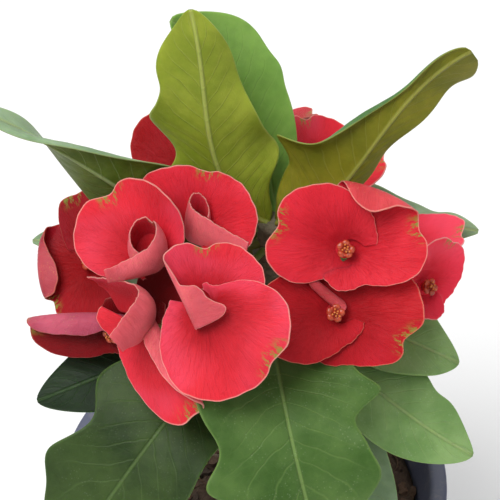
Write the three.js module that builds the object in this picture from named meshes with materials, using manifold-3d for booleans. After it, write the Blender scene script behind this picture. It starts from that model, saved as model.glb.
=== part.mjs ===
// Crown of thorns plant (Euphorbia milii, large-flowered) in its nursery pot.
// Millimetres, +Z up. The origin is the middle of the pot's flat underside, and -Y is the plant's front.
// Every leaf and bract is one thin closed blade. Its middle surface is a formula of a few real sizes.

import * as THREE from 'three';
import { mergeVertices } from 'three/addons/utils/BufferGeometryUtils.js';
import Module from 'manifold-3d';

const wasm = await Module();
wasm.setup();

// ---------------------------------------------------------------- driving sizes

const GAP = 0.3;
const POT_HEIGHT = 130;
const POT_RIM_RADIUS = 75;
const POT_LIP_WIDTH = 6.5;
const POT_LIP_DROP = 12;
const POT_TOP_RADIUS = 68;
const POT_FOOT_RADIUS = 52;
const POT_WALL = 2;
const POT_FLOOR = 3;
const DRAIN_HOLES = 8;
const DRAIN_HOLE_RADIUS = 5;
const DRAIN_RING_RADIUS = 36;
const POT_SIDES = 36;

const SOIL_TOP = 117;
const SOIL_LUMP = 1.5;
const BARK_CHIPS = 20;
const BARK_SUNK = 1.6;
const SOIL_SIDES = 18;
const STEM_HOLE_RADIUS = 9.8;

const STEM_FOOT = 88;
const STEM_TOP = 262;
const STEM_RADIUS = 7.5;
const SPINE_LENGTH = 13;
const SPINE_FOOT_RADIUS = 1.35;
const SPINE_TIP_RADIUS = 0.2;
const SPINE_PAIRS = 34;
const SPINE_CLEAR = 10;

const BLADE_HALF_THICKNESS = 0.35;
const LEAF_STALK_HALF_WIDTH = 2.2;
const LEAF_STALK_DEPTH = 2.0;
const LEAF_RIB_DEPTH = 0.8;
const SECTION_STEPS = 16;

const STALK_RADIUS = 1.1;
const STALK_END = 2.6;
const STALK_STRAIGHT = 11;

const BRACT_ROOT = 1.5;
const BRACT_SPREAD = 152;
const BRACT_FOOT_SPREAD = 66;
const BRACT_LEVELS = [-0.5, -1.6];
const BRACT_DISC_RADIUS = 3;
const BRACT_DISC_TOP = 0.2;
const BRACT_DISC_BOTTOM = -2.2;
const BRACT_LIFT_FROM = 1.5;
const BRACT_LIFT_TO = 7;
const BRACT_NOTCH_WIDTH = 0.17;
const SCROLL_LIFT_FROM = 0.65;
const SCROLL_LIFT = 0.5;

// ---------------------------------------------------------------- small tools

const vec = (p) => new THREE.Vector3(p[0], p[1], p[2]);
const radians = (degrees) => (degrees * Math.PI) / 180;
const mix = (a, b, t) => a + (b - a) * t;
const GOLDEN_TURN = radians(137.5);
const group = new THREE.Group();

function smoothstep(from, to, x) {
  const t = Math.min(1, Math.max(0, (x - from) / (to - from)));
  return t * t * (3 - 2 * t);
}

// Repeatable random numbers from 0 to 1 (mulberry32).
function seeded(seed) {
  let state = seed >>> 0;
  return () => {
    state = (state + 0x6d2b79f5) >>> 0;
    let t = state;
    t = Math.imul(t ^ (t >>> 15), t | 1);
    t ^= t + Math.imul(t ^ (t >>> 7), t | 61);
    return ((t ^ (t >>> 14)) >>> 0) / 4294967296;
  };
}

// A closed geometry as a solid that can be joined and cut.
function solidOf(geometry) {
  const bare = geometry.clone();
  bare.deleteAttribute('normal');
  bare.deleteAttribute('uv');
  const merged = mergeVertices(bare, 1e-4);
  return new wasm.Manifold(new wasm.Mesh({
    numProp: 3,
    vertProperties: new Float32Array(merged.attributes.position.array),
    triVerts: new Uint32Array(merged.index.array),
  }));
}

function geometryOf(solid) {
  const mesh = solid.getMesh();
  const geometry = new THREE.BufferGeometry();
  geometry.setAttribute('position', new THREE.BufferAttribute(new Float32Array(mesh.vertProperties), 3));
  geometry.setIndex(new THREE.BufferAttribute(new Uint32Array(mesh.triVerts), 1));
  return geometry;
}

const joined = (solids) => solids.reduce((whole, next) => whole.add(next));

function addNode(name, solid, look) {
  const geometry = geometryOf(solid);
  geometry.computeVertexNormals();
  const node = new THREE.Mesh(geometry, new THREE.MeshStandardMaterial(look));
  node.name = name;
  group.add(node);
}

// A closed blade round a middle surface. Both faces are split along the same diagonals, so they never
// cross. sheet(u, v) gives a point, and depth(u, v) how far each face lies from it: [above, below].
function blade(sheet, us, vs, depth) {
  const step = 1e-3;
  const middle = [];
  const above = [];
  const below = [];
  for (const v of vs) {
    for (const u of us) {
      const p = sheet(u, v);
      const du = sheet(u + step, v).sub(sheet(u - step, v));
      const dv = sheet(u, v + step).sub(sheet(u, v - step));
      const normal = du.cross(dv).normalize();
      const [up, down] = depth(u, v);
      middle.push(p);
      above.push(p.clone().addScaledVector(normal, up));
      below.push(p.clone().addScaledVector(normal, -down));
    }
  }
  const count = middle.length;
  const at = (i, j) => j * us.length + i;
  const triangles = [];
  const face = (a, b, c) => {
    triangles.push(a, b, c);
    triangles.push(count + a, count + c, count + b);
  };
  for (let j = 0; j + 1 < vs.length; j += 1) {
    for (let i = 0; i + 1 < us.length; i += 1) {
      const [a, b, c, d] = [at(i, j), at(i + 1, j), at(i + 1, j + 1), at(i, j + 1)];
      if (middle[a].distanceTo(middle[c]) <= middle[b].distanceTo(middle[d])) {
        face(a, b, c);
        face(a, c, d);
      } else {
        face(a, b, d);
        face(b, c, d);
      }
    }
  }
  const edge = [];
  for (let i = 0; i < us.length; i += 1) edge.push(at(i, 0));
  for (let j = 1; j < vs.length; j += 1) edge.push(at(us.length - 1, j));
  for (let i = us.length - 2; i >= 0; i -= 1) edge.push(at(i, vs.length - 1));
  for (let j = vs.length - 2; j >= 1; j -= 1) edge.push(at(0, j));
  edge.forEach((a, k) => {
    const b = edge[(k + 1) % edge.length];
    triangles.push(a, count + a, count + b, a, count + b, b);
  });
  const geometry = new THREE.BufferGeometry();
  const points = [...above, ...below].flatMap((p) => [p.x, p.y, p.z]);
  geometry.setAttribute('position', new THREE.BufferAttribute(new Float32Array(points), 3));
  geometry.setIndex(triangles);
  return solidOf(geometry);
}

// A round rod along a curve: a closed cylinder whose rings are moved onto it.
function rod(curve, radiusAt, sides, steps) {
  const geometry = new THREE.CylinderGeometry(1, 1, 1, sides, steps);
  const place = geometry.attributes.position;
  for (let i = 0; i < place.count; i += 1) {
    const t = place.getY(i) + 0.5;
    const along = curve.getTangent(t);
    const spare = Math.abs(along.x) < 0.9 ? vec([1, 0, 0]) : vec([0, 1, 0]);
    const side = spare.addScaledVector(along, -spare.dot(along)).normalize();
    const other = side.clone().cross(along);
    const radius = radiusAt(t);
    const point = curve.getPoint(t);
    point.addScaledVector(side, place.getX(i) * radius);
    point.addScaledVector(other, place.getZ(i) * radius);
    place.setXYZ(i, point.x, point.y, point.z);
  }
  return solidOf(geometry);
}

// ---------------------------------------------------------------- pot

const potWallAt = (z) => mix(POT_FOOT_RADIUS, POT_TOP_RADIUS, z / POT_HEIGHT);

function pot() {
  const lipFoot = POT_HEIGHT - POT_LIP_DROP;
  const profile = [
    [0, 0],
    [POT_FOOT_RADIUS - 2, 0],
    [POT_FOOT_RADIUS, 2],
    [potWallAt(lipFoot - 2), lipFoot - 2],
    [POT_RIM_RADIUS - 2, lipFoot],
    [POT_RIM_RADIUS, lipFoot + 1],
    [POT_RIM_RADIUS, POT_HEIGHT - 1.5],
    [POT_RIM_RADIUS - 1.5, POT_HEIGHT],
    [POT_RIM_RADIUS - POT_LIP_WIDTH + 1, POT_HEIGHT],
    [POT_RIM_RADIUS - POT_LIP_WIDTH, POT_HEIGHT - 1.2],
    [potWallAt(lipFoot - 2) - POT_WALL, lipFoot - 2],
    [potWallAt(POT_FLOOR) - POT_WALL, POT_FLOOR],
    [0, POT_FLOOR],
  ];
  const turned = new THREE.LatheGeometry(profile.map(([r, z]) => new THREE.Vector2(r, z)), POT_SIDES);
  turned.rotateX(Math.PI / 2);
  let body = solidOf(turned);
  for (let i = 0; i < DRAIN_HOLES; i += 1) {
    const turn = (2 * Math.PI * i) / DRAIN_HOLES;
    const drill = new THREE.CylinderGeometry(DRAIN_HOLE_RADIUS, DRAIN_HOLE_RADIUS, POT_FLOOR * 3, 8);
    drill.rotateX(Math.PI / 2);
    drill.translate(DRAIN_RING_RADIUS * Math.cos(turn), DRAIN_RING_RADIUS * Math.sin(turn), POT_FLOOR / 2);
    body = body.subtract(solidOf(drill));
  }
  return body;
}

// ---------------------------------------------------------------- soil

// The soil fills the pot to a little below the rim. Its top is lumpy, and chips of bark lie half sunk
// in it.
function soil() {
  const lumpAt = (x, y) => {
    const broad = Math.sin(x * 0.31 + 1) * Math.cos(y * 0.27);
    return SOIL_LUMP * (broad + 0.5 * Math.sin(x * 0.7 - y * 0.6));
  };
  const inside = (z) => potWallAt(z) - POT_WALL - GAP;
  const shoulder = SOIL_TOP - SOIL_LUMP * 2;
  const rings = [0.94, 0.72, 0.5, 0.28].map((share) => [inside(shoulder) * share, SOIL_TOP]);
  const profile = [
    [0, POT_FLOOR + GAP], [inside(POT_FLOOR) - 1, POT_FLOOR + GAP], [inside(shoulder), shoulder], ...rings,
    [0, SOIL_TOP],
  ];
  const turned = new THREE.LatheGeometry(profile.map(([r, z]) => new THREE.Vector2(r, z)), SOIL_SIDES);
  turned.rotateX(Math.PI / 2);
  const place = turned.attributes.position;
  for (let i = 0; i < place.count; i += 1) {
    if (place.getZ(i) === SOIL_TOP) place.setZ(i, SOIL_TOP + lumpAt(place.getX(i), place.getY(i)));
  }
  const random = seeded(5);
  const chips = [];
  for (let i = 0; i < BARK_CHIPS; i += 1) {
    const chip = new THREE.BoxGeometry(mix(6, 13, random()), mix(3, 6, random()), mix(2, 3.5, random()));
    chip.rotateX(mix(-0.4, 0.4, random()));
    chip.rotateZ(Math.PI * random());
    const away = mix(16, inside(shoulder) - 9, Math.sqrt(random()));
    const [x, y] = [away * Math.cos(i * GOLDEN_TURN), away * Math.sin(i * GOLDEN_TURN)];
    chip.translate(x, y, SOIL_TOP - BARK_SUNK + lumpAt(x, y));
    chips.push(solidOf(chip));
  }
  const hole = new THREE.CylinderGeometry(STEM_HOLE_RADIUS, STEM_HOLE_RADIUS, POT_HEIGHT, 16);
  hole.rotateX(Math.PI / 2);
  hole.translate(0, 0, STEM_FOOT - GAP + POT_HEIGHT / 2);
  return joined([solidOf(turned), ...chips]).subtract(solidOf(hole));
}

// ---------------------------------------------------------------- stem with its spines

const stemLine = new THREE.CatmullRomCurve3([
  vec([0, 0, STEM_FOOT]), vec([-1, -1, 150]), vec([2, 2, 210]), vec([6, 5, STEM_TOP]),
]);
const stemRadiusAt = (t) => STEM_RADIUS * mix(1.1, 0.72, t) + 0.5 * Math.sin(t * 31);
const stemRod = (extra) => rod(stemLine, (t) => stemRadiusAt(t) + extra, 10, 12);
const stemClearance = stemRod(GAP);

function spines() {
  const random = seeded(11);
  const list = [];
  for (let i = 0; i < SPINE_PAIRS; i += 1) {
    const t = mix(0.22, 0.8, i / (SPINE_PAIRS - 1));
    const turn = i * GOLDEN_TURN + 0.3 * random();
    const centre = stemLine.getPoint(t);
    const rise = mix(0.1, 0.45, random());
    const length = SPINE_LENGTH * mix(0.6, 1, random());
    const out = vec([Math.cos(turn), Math.sin(turn), rise]).normalize();
    const start = centre.clone().addScaledVector(out, stemRadiusAt(t) - 2);
    const end = start.clone().addScaledVector(out, length + 2);
    const middle = start.clone().lerp(end, 0.5);
    const leafFoot = (leaf) => vec(leaf.route[0]).lerp(vec(leaf.route[1]), 0.3);
    if (LEAVES.some((leaf) => leafFoot(leaf).distanceTo(middle) < SPINE_CLEAR)) continue;
    const radiusAt = (s) => mix(SPINE_FOOT_RADIUS, SPINE_TIP_RADIUS, s);
    list.push(rod(new THREE.LineCurve3(start, end), radiusAt, 3, 1));
  }
  return list;
}

// ---------------------------------------------------------------- leaves

// A leaf follows route, a Bezier curve from its foot on the stem to its tip. face is where its upper
// side looks at the foot and at the tip. fold and curl (degrees) raise its halves about the midrib, at
// the foot and at the tip. lips roll its left and right margins back: [degrees, share of the half].
// waves are [place 0-1, side -1 or 1, millimetres, length 0-1]. A twist above 1 keeps the turn from
// foot to tip for the leaf's end.
function leafSheet(leaf) {
  const route = new THREE.CubicBezierCurve3(...leaf.route.map(vec));
  const [faceFoot, faceTip] = leaf.face.map(vec);
  const power = Math.log(0.5) / Math.log(leaf.widest);
  const shapeAt = (t) => Math.sin(Math.PI * Math.min(1, Math.max(0, t)) ** power) ** leaf.fullness;
  const [ruffle, ruffles, phase] = leaf.ruffle;
  return (s, t) => {
    const along = route.getTangent(t);
    const up = faceFoot.clone().lerp(faceTip, t ** leaf.twist);
    up.addScaledVector(along, -up.dot(along)).normalize();
    const side = along.clone().cross(up);
    const hand = s < 0 ? -1 : 1;
    const shape = shapeAt(t);
    let half = LEAF_STALK_HALF_WIDTH * mix(1, 0.3, t) + (leaf.width / 2 - LEAF_STALK_HALF_WIDTH) * shape;
    for (const [place, waveSide, size, reach] of leaf.waves) {
      if (waveSide === hand) half += size * Math.exp(-(((t - place) / reach) ** 2));
    }
    const fold = radians(mix(leaf.fold[0], leaf.fold[1], t));
    const curl = radians(mix(leaf.curl[0], leaf.curl[1], t));
    const [lipTurn, lipShare] = leaf.lips[hand < 0 ? 0 : 1];
    const lip = radians(lipTurn) * shape * smoothstep(0.25, 0.7, t);
    let outward = 0;
    let raised = 0;
    const step = Math.abs(s) / SECTION_STEPS;
    for (let k = 0; k < SECTION_STEPS; k += 1) {
      const reach = (k + 0.5) * step;
      const slope = fold + curl * reach - lip * smoothstep(1 - lipShare, 1, reach);
      outward += Math.cos(slope) * step * half;
      raised += Math.sin(slope) * step * half;
    }
    const wave = Math.sin(2 * Math.PI * (ruffles * t + phase) + (hand < 0 ? 2 : 0));
    raised += ruffle * s * s * wave * shape;
    return route.getPoint(t).addScaledVector(side, hand * outward).addScaledVector(up, raised);
  };
}

const LEAF_ACROSS = [-1, -0.8, -0.5, 0, 0.5, 0.8, 1];
const LEAF_ALONG = [0, 0.16, 0.31, 0.45, 0.58, 0.7, 0.82, 0.93, 1];

function leafSolid(leaf) {
  const depth = (s, t) => {
    const stalk = LEAF_STALK_DEPTH * (1 - smoothstep(0.05, 0.25, t));
    const rib = (s === 0 ? LEAF_RIB_DEPTH : 0) * (1 - t);
    return [BLADE_HALF_THICKNESS, BLADE_HALF_THICKNESS + stalk * (1 - Math.abs(s)) + rib];
  };
  return blade(leafSheet(leaf), LEAF_ACROSS, LEAF_ALONG, depth).subtract(stemClearance);
}

const PLAIN_LEAF = {
  twist: 1, fold: [8, 4], curl: [6, 0], ruffle: [2, 2, 0], lips: [[0, 0.3], [0, 0.3]], waves: [],
};
const LEAVES = [
  {
    ...PLAIN_LEAF, name: 'leaf_top_front', colour: '#8f9f40',
    route: [[5, 7, 261], [-21, 10, 273], [-13, 9, 313], [-20, 17, 342]],
    face: [[-0.1, 1, 0.1], [0.1, 0.9, 0.2]],
    width: 37, widest: 0.5, fullness: 0.7, fold: [14, 8], curl: [10, 10], ruffle: [2, 2.5, 0],
    waves: [
      [0.56, 1, 3, 0.05], [0.43, 1, -4, 0.06], [0.34, 1, 3, 0.04], [0.7, 1, -1.5, 0.05], [0.82, 1, 3, 0.12],
      [0.72, -1, -3, 0.12], [0.28, -1, 5, 0.14],
    ],
  },
  {
    ...PLAIN_LEAF, name: 'leaf_top_back', colour: '#4f7f3c',
    route: [[8, 10, 258], [4, 28, 279], [-4, 34, 305], [-27, 30, 328]],
    face: [[0, -1, 0.2], [0.2, -0.7, 0.8]],
    width: 30, widest: 0.54, fullness: 0.7, fold: [10, 5], curl: [10, 0], ruffle: [1.5, 2, 0.3],
    waves: [[0.79, 1, 5, 0.15], [0.6, 1, 1.5, 0.05]],
  },
  {
    ...PLAIN_LEAF, name: 'leaf_right_high', colour: '#6d7d3d',
    route: [[8, 6, 262], [34, -3, 272], [38, 11, 311], [68, 14, 328]],
    face: [[0.3, 1, -0.3], [-0.15, 0.95, -0.05]],
    width: 36, widest: 0.32, fullness: 0.55, fold: [10, 10], curl: [10, 10], ruffle: [1.5, 2, 0],
    lips: [[0, 0.3], [185, 0.5]],
    waves: [
      [0.33, 1, 10, 0.07], [0.75, 1, -6, 0.14], [0.52, -1, -10, 0.17], [0.3, -1, -10, 0.12],
      [0.96, -1, 7, 0.07],
    ],
  },
  {
    ...PLAIN_LEAF, name: 'leaf_left_high', colour: '#5b7448',
    route: [[2, 4, 254], [-40, 2, 263], [-46, 2, 292], [-93, 6, 313]],
    face: [[0.1, 1, -0.3], [0.25, -0.4, 0.9]],
    width: 34, widest: 0.32, fullness: 0.75, twist: 3, fold: [10, 10], curl: [10, 10], ruffle: [1.5, 2, 0],
    lips: [[120, 0.5], [0, 0.3]], waves: [[0.1, -1, -9, 0.1], [0.1, 1, -9, 0.1]],
  },
  {
    ...PLAIN_LEAF, name: 'leaf_right_back', colour: '#7f9f80',
    route: [[9, 9, 242], [33, 26, 232], [54, 35, 236], [80, 28, 235]],
    face: [[0, -0.2, 1], [0.2, -0.3, 1]],
    width: 26, widest: 0.5, fullness: 0.75, fold: [12, 4], curl: [8, 0], ruffle: [2, 2, 0],
    waves: [[0.52, -1, 6, 0.12], [0.8, -1, -2, 0.06]],
  },
  {
    ...PLAIN_LEAF, name: 'leaf_left_back', colour: '#6f8a68',
    route: [[0, 6, 232], [-27, 14, 226], [-54, 26, 238], [-79, 24, 234]],
    face: [[0, -0.2, 1], [-0.2, 0, 1]],
    width: 30, widest: 0.45, fullness: 0.75, fold: [12, 4], curl: [8, 0], ruffle: [2, 2, 0.4],
    waves: [[0.85, 1, -3, 0.06]],
  },
  {
    ...PLAIN_LEAF, name: 'leaf_front_centre', colour: '#4c7a44',
    route: [[3, 0, 228], [9, -40, 238], [6, -72, 261], [25, -84, 180]],
    face: [[0.22, -0.2, 1], [0.1, -1, 0.6]],
    width: 62, widest: 0.42, fullness: 0.65, ruffle: [3, 2.5, 0],
    waves: [
      [0.38, -1, -7, 0.1], [0.51, -1, 4, 0.05], [0.62, 1, -3, 0.06], [0.63, -1, -5, 0.06],
      [0.73, 1, 8, 0.05], [0.84, 1, -5, 0.06], [0.8, -1, 6, 0.06],
    ],
  },
  {
    ...PLAIN_LEAF, name: 'leaf_front_left', colour: '#3f6b38',
    route: [[3, 0, 225], [-17, -31, 226], [-30, -57, 234], [-64, -72, 176]],
    face: [[0, -0.2, 1], [-0.3, -1, 0.8]],
    width: 60, widest: 0.6, fullness: 1.1, ruffle: [3, 2.5, 0.3],
    waves: [
      [0.42, 1, -4, 0.12], [0.69, 1, -7, 0.07], [0.84, 1, 8, 0.06], [0.94, 1, 9, 0.06],
      [0.58, -1, -9, 0.15],
    ],
  },
  {
    ...PLAIN_LEAF, name: 'leaf_left_low', colour: '#35602f',
    route: [[0, 2, 216], [-25, -16, 226], [-53, -28, 220], [-74, -34, 215]],
    face: [[0, -0.1, 1], [-0.3, -0.5, 1]],
    width: 29, widest: 0.6, fullness: 0.75, ruffle: [2, 2, 0],
  },
  {
    ...PLAIN_LEAF, name: 'leaf_front_right', colour: '#44703c',
    route: [[6, 0, 216], [29, -17, 224], [47, -40, 214], [75, -43, 197]],
    face: [[0, -0.1, 1], [0.3, -0.6, 1]],
    width: 36, widest: 0.58, fullness: 0.75, ruffle: [2, 2, 0.2],
    waves: [[0.75, -1, -2, 0.06]],
  },
  {
    ...PLAIN_LEAF, name: 'leaf_right_low', colour: '#4c7648',
    route: [[8, 3, 229], [32, -5, 227], [51, -16, 228], [71, -16, 214]],
    face: [[0, 0, 1], [0.3, -0.5, 1]],
    width: 32, widest: 0.6, fullness: 0.75, ruffle: [2, 2, 0.6],
  },
  {
    ...PLAIN_LEAF, name: 'leaf_front_lowest', colour: '#8aa37c',
    route: [[3, 0, 188], [21, -22, 196], [33, -44, 196], [47, -62, 160]],
    face: [[0, 0, 1], [0.3, -0.6, 1]],
    width: 36, widest: 0.55, fullness: 0.75, ruffle: [2, 2, 0.1],
  },
  {
    ...PLAIN_LEAF, name: 'leaf_back_centre', colour: '#4c7a44',
    route: [[4, 6, 232], [2, 34, 244], [-4, 66, 244], [-10, 100, 216]],
    face: [[0, 0, 1], [0, 0.5, 1]],
    width: 50, widest: 0.5, fullness: 0.75, ruffle: [3, 2.5, 0.5],
  },
  {
    ...PLAIN_LEAF, name: 'leaf_back_left', colour: '#3f6b38',
    route: [[1, 4, 218], [-18, 28, 236], [-42, 58, 230], [-58, 86, 190]],
    face: [[0, 0, 1], [-0.3, 0.4, 1]],
    width: 46, widest: 0.5, fullness: 0.75, ruffle: [3, 2.5, 0.7],
  },
  {
    ...PLAIN_LEAF, name: 'leaf_back_right', colour: '#44703c',
    route: [[5, 4, 208], [26, 28, 226], [48, 54, 222], [66, 80, 184]],
    face: [[0, 0, 1], [0.3, 0.4, 1]],
    width: 46, widest: 0.5, fullness: 0.75, ruffle: [3, 2.5, 0.9],
  },
];

// ---------------------------------------------------------------- blooms

// A bract is a broad kidney-shaped blade that lies round the bloom's centre. toward is where its tip
// points, reach the distance to its tip, width its greatest width and back how far its foot lobes pass
// the centre. rise and lean (degrees) tilt it about the bloom's middle, cup raises its margin, and
// ripple waves it. swells are places where the margin stands out: [direction in degrees from the tip,
// millimetres, spread]. rolls are [direction, distance of the crease, radius, most degrees, bow]: past
// the crease the blade is wound up to the front for a positive radius, or to the back for a negative
// one. A bowed crease curves round the middle.
function bractEdge(bract, theta) {
  const long = (bract.reach + bract.back) / 2;
  const shift = long - bract.back;
  const wide = bract.width / 2;
  const a = Math.cos(theta) ** 2 / long ** 2 + Math.sin(theta) ** 2 / wide ** 2;
  const b = (-2 * shift * Math.cos(theta)) / long ** 2;
  const c = shift ** 2 / long ** 2 - 1;
  let edge = (-b + Math.sqrt(b * b - 4 * a * c)) / (2 * a);
  for (const [direction, size, spread] of bract.swells) {
    edge += size * Math.exp(-(((theta - radians(direction)) / radians(spread)) ** 2));
  }
  return edge * (1 - bract.notch * Math.exp(-((theta / BRACT_NOTCH_WIDTH) ** 2)));
}

function bractSheet(bloom, bract, level) {
  const axis = vec(bloom.facing).normalize();
  const toward = vec(bract.toward);
  toward.addScaledVector(axis, -toward.dot(axis)).normalize();
  const flatSide = axis.clone().cross(toward);
  const turn = new THREE.Quaternion().setFromAxisAngle(flatSide, -radians(bract.rise));
  const ahead = toward.clone().applyQuaternion(turn);
  const lean = new THREE.Quaternion().setFromAxisAngle(ahead, radians(bract.lean));
  const side = flatSide.clone().applyQuaternion(lean);
  const up = axis.clone().applyQuaternion(turn).applyQuaternion(lean);
  const centre = vec(bloom.at).addScaledVector(axis, level);
  const [ripple, ripples, phase] = bract.ripple;
  return (u, v) => {
    const edge = bractEdge(bract, u * radians(BRACT_SPREAD));
    const rho = mix(BRACT_ROOT, edge, v);
    const opened = smoothstep(BRACT_ROOT, BRACT_LIFT_TO, rho);
    const theta = u * radians(mix(BRACT_FOOT_SPREAD, BRACT_SPREAD, opened));
    const x = rho * Math.cos(theta);
    const y = rho * Math.sin(theta);
    const share = rho / bract.reach;
    let [dx, dy, dz] = [0, 0, 0];
    for (const [direction, crease, radius, most, bow] of bract.rolls) {
      const [kx, ky] = [Math.cos(radians(direction)), Math.sin(radians(direction))];
      const past = x * kx + y * ky - crease + bow * (y * kx - x * ky) ** 2;
      if (past > 0) {
        const size = Math.abs(radius);
        const angle = Math.min(past / size, radians(most));
        const rest = past - angle * size;
        const shift = size * Math.sin(angle) + rest * Math.cos(angle) - past;
        dx += shift * kx;
        dy += shift * ky;
        dz += Math.sign(radius) * (size * (1 - Math.cos(angle)) + rest * Math.sin(angle));
      }
    }
    dz += bract.cup * share ** 2 + bract.crease * (Math.hypot(y, 1) - 1);
    dz += ripple * share ** 3 * Math.sin(ripples * theta + phase);
    const lifted = smoothstep(BRACT_LIFT_FROM, BRACT_LIFT_TO, rho);
    const flat = centre.clone().addScaledVector(toward, x).addScaledVector(flatSide, y);
    const raised = centre.clone().addScaledVector(x + dx > 0 ? ahead : toward, x + dx);
    raised.addScaledVector(side, y + dy).addScaledVector(up, dz);
    return flat.lerp(raised, lifted);
  };
}

// A bract wound into a scroll, like an arum's. mouth is where the scroll opens to, and toward where
// turn 0 lies. throat is its radius at the foot, step how much wider it winds each turn, and flare its
// half angle. It covers turn[0] to turn[1] (degrees), is wound between wound[0] and wound[1], and runs
// straight beyond: straight is in millimetres for each radian. belly is how far its wall bulges halfway
// up. Its two ends narrow toward the margin.
function scrollSheet(bloom, bract, level) {
  const mouth = vec(bract.mouth).normalize();
  const toward = vec(bract.toward);
  toward.addScaledVector(mouth, -toward.dot(mouth)).normalize();
  const side = mouth.clone().cross(toward);
  const centre = vec(bloom.at).addScaledVector(vec(bloom.facing).normalize(), level);
  const flare = radians(bract.flare);
  const [first, last] = bract.turn.map(radians);
  const [from, to] = bract.wound.map(radians);
  return (u, v) => {
    const turn = mix(first, last, (u + 1) / 2);
    const bend = Math.min(to, Math.max(from, turn));
    const free = (turn - bend) * bract.straight;
    const share = mix(SCROLL_LIFT * smoothstep(SCROLL_LIFT_FROM, 1, Math.abs(u)), 1, v);
    const length = bractEdge(bract, u * radians(BRACT_SPREAD)) * share;
    const winding = bract.throat + (bract.step * bend) / (2 * Math.PI);
    const radius = winding + length * Math.sin(flare) + bract.belly * Math.sin(Math.PI * share);
    const point = centre.clone().addScaledVector(mouth, length * Math.cos(flare));
    point.addScaledVector(toward, radius * Math.cos(bend) - free * Math.sin(bend));
    return point.addScaledVector(side, radius * Math.sin(bend) + free * Math.cos(bend));
  };
}

const BRACT_AROUND = [-1, -0.75, -0.45, -0.15, 0, 0.15, 0.45, 0.75, 1];
const BRACT_OUT = [0, 0.35, 0.7, 1];
const ROLLED_AROUND = [-1, -0.8, -0.58, -0.36, -0.14, 0, 0.14, 0.36, 0.58, 0.8, 1];
const ROLLED_OUT = [0, 0.3, 0.56, 0.8, 1];

const CENTRE_PROFILE = [[0, 0], [1.4, 0], [2.5, 3], [2.1, 4], [0, 3.7]];

function bloomPlace(bloom) {
  const axis = vec(bloom.facing).normalize();
  const turn = new THREE.Quaternion().setFromUnitVectors(vec([0, 0, 1]), axis);
  return new THREE.Matrix4().compose(vec(bloom.at), turn, vec([1, 1, 1]));
}

function centreCup(bloom, extra) {
  const profile = CENTRE_PROFILE.map(([r, z], i) => {
    const last = CENTRE_PROFILE.length - 1;
    const end = i === 0 || i === last;
    return new THREE.Vector2(end ? 0 : r + extra, z + (i <= 1 ? -extra : extra));
  });
  const cup = new THREE.LatheGeometry(profile, 8);
  cup.rotateX(Math.PI / 2);
  cup.applyMatrix4(bloomPlace(bloom));
  return solidOf(cup);
}

function bloomSolids(bloom) {
  const depth = () => [BLADE_HALF_THICKNESS, BLADE_HALF_THICKNESS];
  const sheets = bloom.bracts.map((bract, i) => {
    const sheet = (bract.mouth ? scrollSheet : bractSheet)(bloom, bract, BRACT_LEVELS[i]);
    const plain = !bract.mouth && bract.rolls.length === 0;
    const [around, out] = plain ? [BRACT_AROUND, BRACT_OUT] : [ROLLED_AROUND, ROLLED_OUT];
    return blade(sheet, around, out, depth);
  });
  const thickness = BRACT_DISC_TOP - BRACT_DISC_BOTTOM;
  const disc = new THREE.CylinderGeometry(BRACT_DISC_RADIUS, BRACT_DISC_RADIUS - 1, thickness, 8);
  disc.rotateX(Math.PI / 2);
  disc.translate(0, 0, BRACT_DISC_BOTTOM + thickness / 2);
  disc.applyMatrix4(bloomPlace(bloom));
  const bracts = joined([...sheets, solidOf(disc)]).subtract(centreCup(bloom, GAP));
  return [bracts, centreCup(bloom, 0)];
}

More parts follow.
